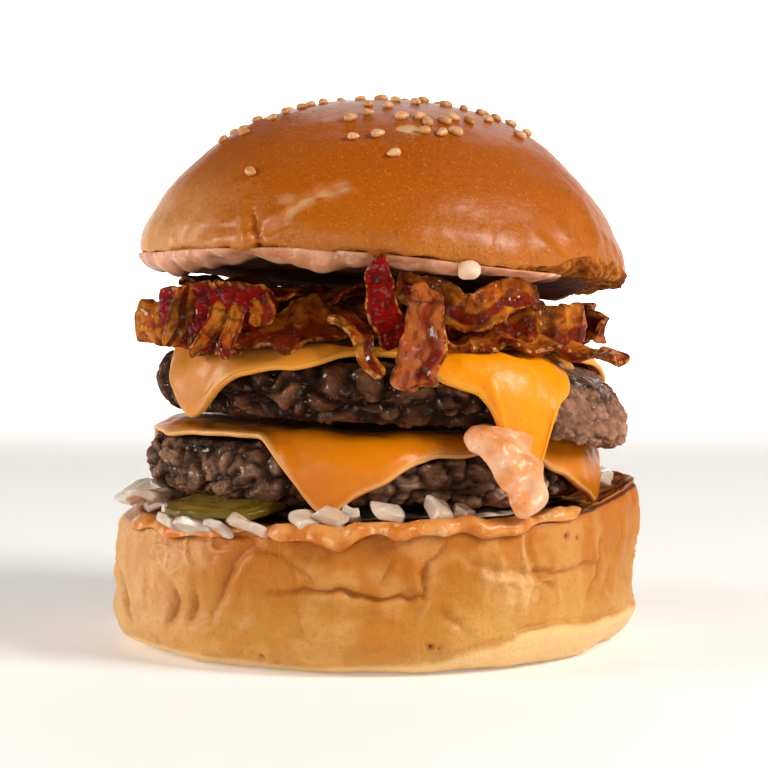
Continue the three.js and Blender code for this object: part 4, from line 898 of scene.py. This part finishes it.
def strip_skin(route, across, width, ripple, seed, thick=2.0, looks=(0.5, 0.5, 0.3)):
    """A strip of bacon: a flat section carried along its route. It is lifted by a sine wave, by frills
    that grow as the cube of the way out, by noise, and by folds where noise crosses zero. Its sides are
    ragged and beaded and its ends torn, all by noise. Bands of fat, thicker than the lean, run along it
    and wander."""
    length = np.linalg.norm(np.diff(curve_through(route, np.linspace(0, 1, 200), True), axis=0), axis=1).sum()
    even = np.linspace(0, 1, int(np.clip(length * 3.2, 90, 230)))
    angle, t = ring_grid(104, 0.65 * (0.5 - 0.5 * np.cos(np.pi * even)) + 0.35 * even)
    v, up = np.cos(np.radians(angle)), np.sin(np.radians(angle))
    centre, side, out, slope = along_route(route, across, t)
    run, half = t * length, read_along(width, t) / 2
    to_end, widest = np.minimum(run, length - run), half.max()
    flat = triples(run, v * half, 17 * seed)
    end = np.sqrt(np.clip(1 - np.clip(1 - to_end / 1.6, 0, 1) ** 3, 0, 1))
    sides = triples(run, np.sign(v) * 9, 0)
    ragged = 1 + 0.14 * swell(sides, 4.2, seed) + 0.06 * swell(sides, 1.3, seed + 1)
    size, wave, phase = ripple
    lift = size * np.sin(2 * np.pi * run / wave + phase + 0.5 * v)
    rows = flat * [1, 0.1, 1]
    frill = np.abs(v) ** 3 * (0.9 * swell(rows, 3.6, seed + 2) + 0.5 * swell(rows, 1.9, seed + 3))
    fold = np.abs(swell(flat * [1, 0.45, 1], 3.8, seed + 13))
    lift = lift + frill * min(1, widest / 4) + 0.6 * swell(flat, 7, seed + 4)
    lift = lift - min(1.6, 0.3 * widest) * (fold - 0.3)
    wander = v + 0.6 * swell(flat * [1, 0.3, 1], 8, seed + 5) + 0.2 * swell(flat, 2.6, seed + 6)
    fatty, red, brown = looks
    band = np.sin(wander * 3.0 + seed) + 1.8 * (fatty - 0.5)
    fat = smooth(band + 0.4 * grain(flat * [0.4, 1, 1], 2.2, 3, seed + 7), -0.3, 0.4)
    edge = smooth(np.abs(v), 0.8, 0.98)
    bead = edge * (0.25 + 0.4 * swell(flat, 1.3, seed + 8))
    grit = 0.2 * grain(flat * [0.7, 1, 1], 1.9, 3, seed + 9)
    section = (thick / 2) * (0.62 + 0.26 * fat) * np.abs(up) ** 0.25
    section = section * np.sqrt(np.clip(1 - np.abs(v) ** 7, 0, 1))
    rise = np.sign(up) * np.maximum(section + (grit + bead) * np.abs(up) ** 0.4, 0.12 * np.abs(up))
    stray = min(1.2, 0.22 * widest) * swell(triples(run, 5, 17 * seed), 6, seed + 14)
    which_end = np.sign(run - length / 2) * 5
    torn = 1.5 * (1 - smooth(to_end, 0, 5)) * swell(triples(v * half, which_end, seed), 2.4, seed + 15)
    sideways, outwards = v * half * ragged * end + stray, lift + rise * end
    points = centre + side * sideways[..., None] + out * outwards[..., None]
    return points + slope * torn[..., None], {
        # deep marks the fold creases, which the finish darkens as painted shade.
        "fat": fat, "edge": edge, "deep": 1 - smooth(fold, 0, 0.22),
        "red": red + 0.25 * swell(flat, 8, seed + 10), "brown": brown + 0.3 * swell(flat, 5, seed + 11),
        "grit": 0.5 + 0.5 * grain(flat * [0.5, 1, 1], 0.9, 2, seed + 12),
    }


def onion_chunk(x, y, z, length, wide, thick, turn, tip, roll, seed):
    """A piece of onion: a ball drawn towards a box by a power, sheared, tapered and curved by draws, bent
    by noise, and turned about X, then Y, then Z."""
    angle, t = ring_grid(36, np.linspace(0, 1, 26))
    a, b = np.radians(angle), np.pi * (t - 0.5)
    square = lambda v: np.sign(v) * np.abs(v) ** 0.36
    across = square(np.cos(b))
    u = triples(across * square(np.cos(a)), across * square(np.sin(a)), square(np.sin(b)))
    u[0], u[-1] = [0, 0, -1], [0, 0, 1]
    draw = [draws_at(np.array(seed), np.array(n), np.array(0), 5) - 0.5 for n in range(6)]
    p = u * np.array([length, wide, 0.72 * thick]) / 2
    p[..., 0] += 0.5 * draw[0] * p[..., 1] + 0.8 * draw[1] * p[..., 2]
    p[..., 1] *= 1 + 0.5 * draw[2] * u[..., 0]
    p[..., 2] += 0.07 * draw[3] * p[..., 0] ** 2 + 0.5 * draw[4] * p[..., 0]
    p = p + drift(p + seed, 3.8, seed) * [1.1, 1.1, 0.55]
    p = p + 0.3 * drift(p + seed, 1.7, seed)
    placed = axis_turn(2, turn) @ axis_turn(1, tip) @ axis_turn(0, roll)
    return p @ placed.T + [x, y, z], {"tone": np.full(a.shape, draw[5] + 0.5)}


def onion_skins():
    """The bed of onion, a lumped disc; the pieces that show at the front; and more by rule round the rest
    of the rim, at even turns with draws for their place, size and slant."""
    angle, t = ring_grid(300, np.linspace(0, 1, 110))
    a = np.radians(angle)
    bed_r = 38 * (1 + 0.05 * np.cos(7 * a)) * np.sin(np.pi * t) ** 0.35
    level = np.cos(np.pi * t)
    bed = round_z(bed_r, a, BED_HEIGHT + 2.2 - 0.45 * np.sign(level) * np.abs(level) ** 0.5)
    near, second, tone = lumps(bed * [1, 1, 0.3], 4.6, 70)
    bed[..., 2] += (0.9 * (0.5 - near) - 0.5 * (1 - smooth(second - near, 0, 0.3))) * smooth(t, 0.5, 0.6)
    skins = [(bed, {"tone": 0.6 * tone})]
    rows = [row + (n,) for n, row in enumerate(ONION_PIECES)]
    rule = ONION_RULE
    for n in range(rule["count"]):
        draw = [float(draws_at(np.array(n), np.array(k), np.array(0), 77)) for k in range(8)]
        at = math.radians(rule["start"] + rule["step"] * n + 6 * draw[0])
        out = rule["out"] + 3.4 * (draw[1] - 0.5)
        x, y = out * math.cos(at), out * math.sin(at)
        size = [s * (0.75 + 0.5 * draw[2 + k]) for k, s in enumerate(rule["size"])]
        z = float(bed_height(np.array(x), np.array(y))) + 1.7 + size[2] / 2
        rows.append((x, y, z, *size, 360 * draw[5], 30 * (draw[6] - 0.5), 40 * (draw[7] - 0.5), 40 + n))
    return skins + [onion_chunk(*row) for row in rows]


def pickle_skin(pickle, seed):
    """A pickle slice: a thin disc with a rim of two waves, gently lumped, and lifted towards one side."""
    angle, t = ring_grid(180, np.linspace(0, 1, 50))
    a = np.radians(angle)
    level, share = np.cos(np.pi * t), np.sin(np.pi * t) ** 0.35
    rim = pickle["radius"] * (1 + 0.02 * np.cos(5 * a) + 0.012 * np.cos(16 * a))
    p = round_z(share * rim, a, (pickle["thick"] / 2) * -np.sign(level) * np.abs(level) ** 0.5)
    p[..., 2] += 0.25 * swell(p, 4, seed) + 1.4 * smooth(-p[..., 0] - p[..., 1], 4, 17)
    turn = axis_turn(0, pickle["tilt_x"]) @ axis_turn(1, pickle["tilt_y"])
    placed = p @ turn.T + [pickle["x"], pickle["y"], pickle["z"]]
    return placed, {"rind": smooth(share, 0.86, 0.97), "heart": 1 - smooth(share, 0.3, 0.62)}


def hue(code):
    """A colour from its six-figure code, as the linear values that a shader takes."""
    parts = [int(code[i : i + 2], 16) / 255 for i in (0, 2, 4)]
    return tuple(c / 12.92 if c <= 0.04045 else ((c + 0.055) / 1.055) ** 2.4 for c in parts) + (1.0,)


class Value:
    """A number that varies over a surface. Arithmetic on it adds Math nodes."""

    def __init__(self, finish, socket):
        self.finish, self.socket = finish, socket

    def _math(self, operation, *terms):
        made = self.finish.node("Math", {"operation": operation}, dict(enumerate(terms)))
        return Value(self.finish, made.outputs[0])

    def __add__(self, other):
        return self._math("ADD", self, other)

    __radd__ = __add__

    def __sub__(self, other):
        return self._math("SUBTRACT", self, other)

    def __rsub__(self, other):
        return self._math("SUBTRACT", other, self)

    def __mul__(self, other):
        return self._math("MULTIPLY", self, other)

    __rmul__ = __mul__

    def between(self, low, high):
        """0 below low, 1 above high, smooth between."""
        settings = {"interpolation_type": "SMOOTHSTEP", "clamp": True}
        made = self.finish.node("MapRange", settings, {0: self, 1: low, 2: high, 3: 0.0, 4: 1.0})
        return Value(self.finish, made.outputs[0])


class Finish:
    """A material with one principled shader, and short ways to patterns and mixes."""

    def __init__(self, name, **fixed):
        self.material = bpy.data.materials.new(name)
        self.material.use_nodes = True
        self.tree = self.material.node_tree
        self.shader = self.tree.nodes["Principled BSDF"]
        self.place = self.node("TexCoord").outputs["Object"]
        for key, value in fixed.items():
            self.shader.inputs[key.replace("_", " ")].default_value = value

    def node(self, kind, settings=None, sockets=None):
        """A node of that type: settings first, then socket values or links."""
        made = self.tree.nodes.new("ShaderNode" + kind)
        for key, value in (settings or {}).items():
            if key == "stops":
                for n, (at, colour) in enumerate(value):
                    stop = made.color_ramp.elements[n] if n < 2 else made.color_ramp.elements.new(at)
                    stop.position, stop.color = at, colour
            else:
                setattr(made, key, value)
        for key, value in (sockets or {}).items():
            source = value.socket if isinstance(value, Value) else value
            if isinstance(source, bpy.types.NodeSocket):
                self.tree.links.new(source, made.inputs[key])
            else:
                made.inputs[key].default_value = source
        return made

    def kept(self, name):
        """A value kept on the mesh's points."""
        return Value(self, self.node("Attribute", {"attribute_name": name}).outputs["Fac"])

    def cloud(self, size, detail=2.0, rough=0.5, stretch=None):
        """Soft noise with patches of that size in millimetres, about 0 to 1."""
        vector = self.place
        if stretch:
            vector = self.node("Mapping", {}, {"Vector": vector, "Scale": stretch}).outputs[0]
        sockets = {"Vector": vector, "Scale": 1000 / size, "Detail": detail, "Roughness": rough}
        return Value(self, self.node("TexNoise", {}, sockets).outputs[0])

    def specks(self, size):
        """Distance from the nearest of scattered points that size apart."""
        sockets = {"Vector": self.place, "Scale": 1000 / size}
        return Value(self, self.node("TexVoronoi", {}, sockets).outputs[0])

    def axis(self, number):
        """The place along X, Y or Z, in metres."""
        return Value(self, self.node("SeparateXYZ", {}, {0: self.place}).outputs[number])

    def mix(self, share, first, second):
        """Two colours blended by a share. Each is a link or a six-figure code."""
        first, second = (hue(c) if isinstance(c, str) else c for c in (first, second))
        return self.node("Mix", {"data_type": "RGBA"}, {0: share, 6: first, 7: second}).outputs[2]

    def laid(self, colour, *rows):
        """Colours laid over a first one in turn; each row is a share and a colour."""
        for share, over in rows:
            colour = self.mix(share, colour, over)
        return colour

    def ramp(self, share, *stops):
        """A colour read along a ramp of (place, code) stops."""
        stops = [(at, hue(code)) for at, code in stops]
        return self.node("ValToRGB", {"stops": stops}, {0: share}).outputs[0]

    def relief(self, height, deep):
        """Fine bumps: height 0 to 1 over a depth in millimetres."""
        bump = self.node("Bump", {}, {"Strength": 1.0, "Distance": deep / 1000, "Height": height})
        self.feed("Normal", bump.outputs[0])

    def feed(self, name, source):
        """Links a value or colour to the shader."""
        source = source.socket if isinstance(source, Value) else source
        self.tree.links.new(source, self.shader.inputs[name])


def soft(weight, radius, scale, specular):
    """Settings for light that goes into a material: its weight, its reach by colour, and the sheen left."""
    names = ("Subsurface_Weight", "Subsurface_Radius", "Subsurface_Scale", "Specular_IOR_Level")
    return dict(zip(names, (weight, radius, scale, specular)))


BREAD = soft(0.1, (1.0, 0.4, 0.1), 0.002, 0.15)


def crust_finish():
    """Glazed golden-brown crust: deeper at the top, tan at the left low down, mottled fine and dark, with
    pale scars, golden wrinkles and a toasted crumb. The tan at the left low down is partly the crust's own
    colour and partly a painted sheen of the light from the left."""
    f = Finish("golden_crust", IOR=1.45, Coat_Roughness=0.27, **BREAD)
    rise, crumb = f.kept("rise"), f.kept("crumb")
    # Painted sheen in part: paler tan low on the left, where the light from the left glances; the rest is the
    # crust's own tan.
    left = (f.axis(0) * -1).between(0.02, 0.05) * (1 - rise.between(0.3, 0.7))
    high = rise + f.cloud(14, 3) * 0.35 + f.cloud(4, 3) * 0.2 - 0.28
    colour = f.laid(
        f.ramp(high, (0.0, "AE6210"), (1.0, "9C4A02"), (0.12, "AA5A06"), (0.42, "A85202")),
        (left * (0.4 + f.cloud(9, 3) * 0.5), "D29A5C"),
        (f.cloud(0.55, 2).between(0.6, 0.7) * 0.5, "D2882C"),
        (f.cloud(0.9, 3).between(0.53, 0.7) * 0.5, "8A4508"),
        (f.kept("hollow") * 0.75, "C2650C"),
        (f.kept("patch") * 0.8, "D8AE80"),
        (crumb, f.ramp(f.cloud(2.2, 4), (0.3, "441A02"), (0.52, "964C0C"), (0.72, "C8802C"))),
    )
    f.feed("Base Color", colour)
    f.feed("Roughness", 0.34 + 0.16 * f.cloud(4, 3) + 0.4 * crumb)
    f.feed("Coat Weight", (1 - crumb) * 0.4)
    f.relief(f.cloud(1.4, 3) * 0.6 + f.cloud(0.5, 2) * 0.4 + crumb * f.cloud(1.0, 4) * 2, 0.36)
    return f.material


def heel_finish():
    """Soft golden bread skin: tan low down, orange at the top, pale where worn or underneath, paler on raised
    ridges as a painted highlight and towards the left as a painted sheen, browner in the creases and veins
    as painted shade, near black in the specks, with a toasted rim and crumb."""
    f = Finish("golden_bread", IOR=1.45, Coat_Roughness=0.3, **BREAD)
    x, crumb, crease, toast = f.axis(0), f.kept("crumb"), f.kept("crease"), f.kept("toast")
    high = f.axis(2) * 33 + (f.cloud(16, 3) - 0.5) * 0.7 + (f.cloud(4, 3) - 0.5) * 0.4 - x * 3
    colour = f.laid(
        f.ramp(high, (0.0, "C49048"), (1.0, "B4620E"), (0.35, "BE7C2A"), (0.7, "B66A14")),
        (f.kept("worn") * 0.4, "DCA660"),
        # Painted sheen: paler towards the left, where the light from the left glances.
        ((x * -1).between(0.025, 0.055) * (0.3 + 0.5 * f.cloud(8, 3)), "DEB078"),
        (f.cloud(0.8, 3).between(0.5, 0.7) * 0.35, "B06A1C"),
        (f.kept("lap") * 0.8, "F0C88C"),
        # Painted highlight: paler on the raised ridges.
        (f.kept("raised") * 0.6, "ECBE80"),
        # Painted shade: browner in the creases and veins; the specks take it too, and the next mix is their
        # own near black.
        (crease.between(0, 1) * 0.65, "984A08"),
        (crease.between(1, 1.3), "481604"),
        (crumb, f.ramp(f.cloud(2.4, 4), (0.3, "4A1C02"), (0.5, "A0500C"), (0.7, "CC8A34"))),
        (toast.between(0.02, 0.4) * 0.75, "B45C08"),
        (toast.between(0.45, 0.9) * 0.9, "3C1602"),
    )
    f.feed("Base Color", colour)
    f.feed("Roughness", 0.46 + 0.16 * f.cloud(4, 3) + 0.3 * crumb)
    f.feed("Coat Weight", (1 - crumb) * 0.22)
    f.relief(f.cloud(1.5, 4) * 0.6 + f.cloud(0.5, 2) * 0.4 + crumb * f.cloud(1.0, 4) * 2, 0.46)
    return f.material


def seed_finish():
    """Toasted sesame: golden tan, paler or darker from seed to seed, with brown patches."""
    f = Finish("sesame", Roughness=0.36, IOR=1.47, Subsurface_Weight=0.1, Subsurface_Scale=0.001)
    colour = f.mix(f.kept("tone"), "C08248", "DCA878")
    f.feed("Base Color", f.mix(f.cloud(1.2, 2).between(0.45, 0.65) * 0.5, colour, "AA6A2C"))
    f.relief(f.cloud(0.5, 2), 0.05)
    return f.material


def beef_finish(name, lump_colour, light_colour):
    """Seared ground beef: brown lumps, paler where the meat is fine, charred on top, near black in the
    crevices as painted shade, and wet with fat in small patches. The tone grows lighter towards the right,
    and on the upper patty the fine meat lies at the right; there the paler colour is partly painted light."""
    f = Finish(name, IOR=1.45, Coat_Roughness=0.14, Specular_IOR_Level=0.07)
    # Painted light in part: the axis term makes the tone lighter towards the right, where the right lamp
    # falls.
    tone = f.kept("tone") * 0.6 + f.cloud(3, 3) * 0.5 + f.axis(0) * 4
    colour = f.laid(
        f.ramp(tone, (0.25, lump_colour), (0.85, light_colour), (0.55, "68402A")),
        # Paler where the meat is fine; on the upper patty that is its lit right side, where this is partly
        # painted light.
        (f.kept("fine") * (0.5 + 0.5 * f.cloud(2, 3)), "BE8A6C"),
        (f.cloud(1.1, 3).between(0.52, 0.7) * 0.4, "3A2018"),
        (f.kept("char") * f.cloud(2.5, 3).between(0.35, 0.6) * 0.8, "24140F"),
        # Painted shade: near black in the crevices between lumps.
        (f.kept("crevice") * 0.9, "140803"),
    )
    f.feed("Base Color", colour)
    f.feed("Roughness", 0.3 + 0.4 * f.cloud(2, 3))
    f.feed("Coat Weight", f.cloud(1.5, 3).between(0.56, 0.62) * 0.9)
    f.relief(f.cloud(1.2, 4, 0.6) * 0.75 + f.cloud(0.4, 2) * 0.25, 0.75)
    return f.material


def cheese_finish(name, body, pale, rim):
    """Melted cheese: satin, of another colour towards the left, with a paler rim, tiny specks, and dull
    inside the stack, where it is darkened brown as painted shade."""
    f = Finish(name, IOR=1.45, Coat_Roughness=0.22, **soft(0.15, (1.0, 0.5, 0.05), 0.003, 0.25))
    inside = f.kept("inside")
    colour = f.laid(
        body,
        ((f.axis(0) * -1 + (f.cloud(10, 2) - 0.5) * 0.02).between(-0.002, 0.02), pale),
        (f.kept("edge") * 0.6, rim),
        (f.specks(2.2).between(0.11, 0.05) * 0.5, "8A4A10"),
        # Painted shade: brown inside the stack.
        (inside * 0.8, "6A3404"),
    )
    f.feed("Base Color", colour)
    f.feed("Roughness", 0.26 + 0.24 * f.cloud(5, 3) + inside * 0.45)
    f.feed("Coat Weight", (1 - inside) * f.cloud(6, 2).between(0.4, 0.6) * 0.22)
    f.relief(f.cloud(3.0, 4) * 0.9 + f.cloud(0.6, 2) * 0.1, 0.36)
    return f.material


def sauce_finish(name, body, second, pale, within):
    """Creamy sauce: glossy, mottled in two colours and a paler one, with fine specks of spice, nearly
    white on the blob, and dull inside the stack, where its darker colour is painted shade."""
    f = Finish(name, IOR=1.42, Coat_Roughness=0.14, **soft(0.15, (1.0, 0.5, 0.3), 0.002, 0.12))
    inside = f.kept("inside").between(0, 1)
    colour = f.laid(
        body,
        (f.cloud(5, 3).between(0.35, 0.65), second),
        (f.cloud(2.4, 3).between(0.55, 0.75) * 0.7, pale),
        (f.specks(1.7).between(0.14, 0.06) * 0.6, "8A3A18"),
        ((f.kept("inside") * -1).between(0.3, 0.9) * 0.6, "F8DCC0"),
        # Painted shade: the darker colour inside the stack.
        (inside * 0.9, within),
    )
    f.feed("Base Color", colour)
    f.feed("Roughness", 0.22 + 0.24 * f.cloud(3, 2) + inside * 0.5)
    f.feed("Coat Weight", (1 - inside) * (0.15 + 0.35 * f.cloud(4, 2)))
    f.relief(f.cloud(2.2, 3), 0.32)
    return f.material


def bacon_finish():
    """Crisp bacon: dark red lean, amber fat, browned beaded edges, painted shade darkening the fold creases,
    and a grain wet in small patches."""
    f = Finish("crisp_bacon", IOR=1.46, Coat_Roughness=0.15, **soft(0.12, (1.0, 0.35, 0.15), 0.0015, 0.06))
    red = f.kept("red")
    lean = f.mix(red.between(0.1, 0.9), "762204", "7E0603")
    lean = f.mix(f.cloud(2.6, 3).between(0.45, 0.7) * 0.6, lean, "2C0602")
    fatty = f.mix(f.cloud(4, 3).between(0.4, 0.65), "AC5204", "D4841E")
    fatty = f.mix(red.between(0.3, 0.9) * 0.7, fatty, "AE5834")
    colour = f.laid(
        lean,
        (f.kept("fat") * (0.55 + 0.45 * f.cloud(5, 3)), fatty),
        (f.kept("brown").between(0.15, 0.9) * 0.5, "56280C"),
        (f.kept("edge") * 0.75, f.mix(f.cloud(1.3, 2).between(0.45, 0.6), "6A2C08", "CC8638")),
        # Painted shade: darker along the fold creases.
        (f.kept("deep") * 0.6, "280602"),
        ((1 - f.kept("grit")).between(0.45, 0.75) * 0.5, "320A03"),
        (f.cloud(0.8, 3).between(0.63, 0.72) * 0.2, "E0A078"),
    )
    f.feed("Base Color", colour)
    f.feed("Roughness", 0.26 + 0.4 * f.cloud(1.5, 3))
    f.feed("Coat Weight", 0.85 * f.cloud(1.3, 3).between(0.56, 0.62))
    f.relief(f.cloud(1.3, 4, 0.6) * 0.75 + f.cloud(0.4, 2) * 0.25, 0.5)
    return f.material


def onion_finish():
    """Raw onion: pale, watery and faintly pink, with fine lines of its layers."""
    f = Finish(
        "raw_onion", IOR=1.38, Roughness=0.22, Coat_Weight=0.25, Coat_Roughness=0.1, Transmission_Weight=0.3,
        Subsurface_Weight=0.5, Subsurface_Radius=(1.0, 0.8, 0.7), Subsurface_Scale=0.004,
    )
    colour = f.mix(f.kept("tone"), "E6C2A6", "FAEADC")
    f.feed("Base Color", f.mix(f.cloud(2.0, 3).between(0.5, 0.7) * 0.5, colour, "FAF4F0"))
    f.relief(f.cloud(1.4, 3, stretch=(1, 1, 4)), 0.15)
    return f.material


def pickle_finish():
    """Pickled cucumber: olive flesh, a dark green rind and a paler wet heart."""
    within = soft(0.3, (0.7, 1.0, 0.2), 0.003, 0.2)
    f = Finish("pickle", IOR=1.4, Coat_Weight=0.35, Coat_Roughness=0.12, **within)
    colour = f.mix(f.cloud(3, 3).between(0.35, 0.65), "6A5206", "94782A")
    f.feed("Base Color", f.laid(colour, (f.kept("heart") * 0.6, "9A8440"), (f.kept("rind") * 0.8, "5C4A06")))
    f.feed("Roughness", 0.22 + 0.15 * f.cloud(3, 2))
    f.relief(f.cloud(1.6, 3), 0.2)
    return f.material


def floor_finish():
    """Plain pale studio floor, with a faint glow of its own."""
    glow = dict(Emission_Color=(1, 0.99, 0.98, 1), Emission_Strength=0.2)
    return Finish("studio_floor", Roughness=0.85, Base_Color=(0.86, 0.85, 0.84, 1), **glow).material


def studio():
    """A pale floor that sweeps up all round, soft lights, and the camera at the photograph's angle."""
    rings, columns = 60, 96
    angle, t = ring_grid(columns, np.linspace(0, 1, rings))
    radius, rise = 1700 * np.clip(t * 1.4, 0, 1), 620 * smooth(t, 0.55, 1.0)
    points = round_z(radius, np.radians(angle), rise - 0.05) / 1000
    column = np.arange(columns)
    near, after = columns * np.arange(1, rings - 1)[:, None], (column + 1) % columns
    far = near + columns
    faces = np.stack([near + column, near + after, far + after, far + column], -1).reshape(-1, 4)
    mesh = bpy.data.meshes.new("floor")
    cap = (columns + column).tolist()
    mesh.from_pydata(points.reshape(-1, 3).tolist(), [], faces.tolist() + [cap])
    mesh.polygons.foreach_set("use_smooth", np.ones(len(mesh.polygons), bool))
    floor = bpy.data.objects.new("floor", mesh)
    bpy.context.scene.collection.objects.link(floor)
    floor.data.materials.append(floor_finish())
    world = bpy.data.worlds.new("studio")
    world.use_nodes = True
    sky = world.node_tree.nodes["Background"].inputs
    sky[0].default_value, sky[1].default_value = (1.0, 0.985, 0.97, 1), 0.06
    bpy.context.scene.world = world
    for name, place, target, size, power, spread, tint in [
        ("left", (-0.82, -0.14, 0.26), (0, 0, 0.06), 0.45, 5.0, 3.1, (1.0, 0.97, 0.9)),
        ("right", (0.64, -0.36, 0.54), (0, 0, 0.06), 0.36, 7.6, 3.1, (1.0, 0.97, 0.9)),
        ("front", (-0.3, -0.85, 0.3), (0, 0, 0.06), 0.3, 0.7, 3.1, (1.0, 0.97, 0.9)),
        ("back", (0.1, 0.7, 0.6), (0, 0, 0.06), 0.5, 1.0, 3.1, (1.0, 0.97, 0.94)),
        ("backdrop", (0, 0.6, 0.9), (0, 1.3, 0.1), 0.8, 9.0, 1.3, (1.0, 0.99, 0.98)),
    ]:
        light = bpy.data.lights.new(name, "AREA")
        light.shape, light.size, light.spread, light.energy, light.color = "SQUARE", size, spread, power, tint
        lamp = bpy.data.objects.new(name, light)
        bpy.context.scene.collection.objects.link(lamp)
        lamp.location = place
        aim = np.array(target) - place
        across = math.hypot(aim[0], aim[1])
        lamp.rotation_euler = (math.atan2(across, -aim[2]), 0, math.atan2(-aim[0], aim[1]))
    camera = bpy.data.objects.new("camera", bpy.data.cameras.new("camera"))
    bpy.context.scene.collection.objects.link(camera)
    camera.location = (0.0017, -0.5, 0.085)
    camera.rotation_euler = (math.radians(86.4), 0, 0)
    camera.data.lens, camera.data.sensor_width = 110.4, 36
    camera.data.clip_start = 0.01
    bpy.context.scene.camera = camera
    bpy.context.scene.view_settings.view_transform = "Standard"


studio()
crust, bread, bacon = crust_finish(), heel_finish(), bacon_finish()
# Two copies of one beef: the upper's darker colours are painted shade under the bacon and cheese, the lower's
# paler ones painted light.
beef_low = beef_finish("seared_beef_lower", "966E56", "D2AA8C")
beef_up = beef_finish("seared_beef_upper", "52280E", "8A583C")
cheese_low = cheese_finish("melted_cheese_lower", "D27602", "C46C0C", "E6B070")
cheese_up = cheese_finish("melted_cheese_upper", "F09002", "C2782A", "E6A040")
cream = sauce_finish("cream_sauce", "D89C7C", "BC7A56", "F4D2B4", "2E0C02")
orange = sauce_finish("orange_sauce", "C46C1C", "D8924E", "F6CC9C", "96500F")
blush = sauce_finish("tongue_sauce", "DC8C50", "E4AE88", "FBE0C4", "96500F")
lower_slice = melted_slice(PATTY_LOWER, CHEESE_LOWER_EDGE, 300, 0.4)
upper_slice = melted_slice(PATTY_UPPER, CHEESE_UPPER_EDGE, 310, 0.0)

piece("heel", [bottom_bun()], bread, "bun_bottom")
piece("crown", [top_bun()], crust, "bun_top")
piece("seeds", seed_skins(), seed_finish())
piece("lower_patty", [patty_skin(PATTY_LOWER, 100)], beef_low, "patty_lower")
piece("upper_patty", [patty_skin(PATTY_UPPER, 200)], beef_up, "patty_upper")
piece("lower_slice", [lower_slice], cheese_low, "cheese_lower")
piece("upper_slice", [upper_slice], cheese_up, "cheese_upper")
piece("top_cream", [top_sauce(), blob(*CREAM_BLOB, 3)], cream, "sauce_top")
piece("bottom_cream", [bottom_sauce()], orange, "sauce_bottom")
piece("tongue", [sauce_tongue()], blush, "sauce_run")
piece("diced_onion", onion_skins(), onion_finish(), "onion")
for n, row in enumerate(PICKLES):
    number, skins = str(n + 1), [pickle_skin(row, 400 + n)]
    piece("pickle_slice_" + number, skins, pickle_finish(), "pickle_" + number)
for n, (node, (route, across, width, ripple, looks)) in enumerate(BACON.items()):
    thick = 3.2 if node == "bacon_left_end" else 2.0
    skins = [strip_skin(route, across, width, ripple, 500 + 20 * n, thick, looks)]
    if node == "bacon_left_fold":
        for k, (run, wide) in enumerate(SHREDS):
            facing, looks = [[1, 0, 0], [1, 0.2, 0]], (0.8, 0.25, 0.4)
            skins.append(strip_skin(run, facing, wide, (0.3, 6, k), 900 + k, 1.6, looks))
    if node == "bacon_middle":
        for k, (run, wide) in enumerate(INNER_STRIPS):
            facing, looks = [[0, 0.2, 1], [0, 0.2, 1]], (0.4, 0.4, 0.5)
            skins.append(strip_skin(run, facing, wide, (1.2, 14, 1), 950 + k, 2.0, looks))
    piece(node.replace("bacon_", "strip_"), skins, bacon, node)
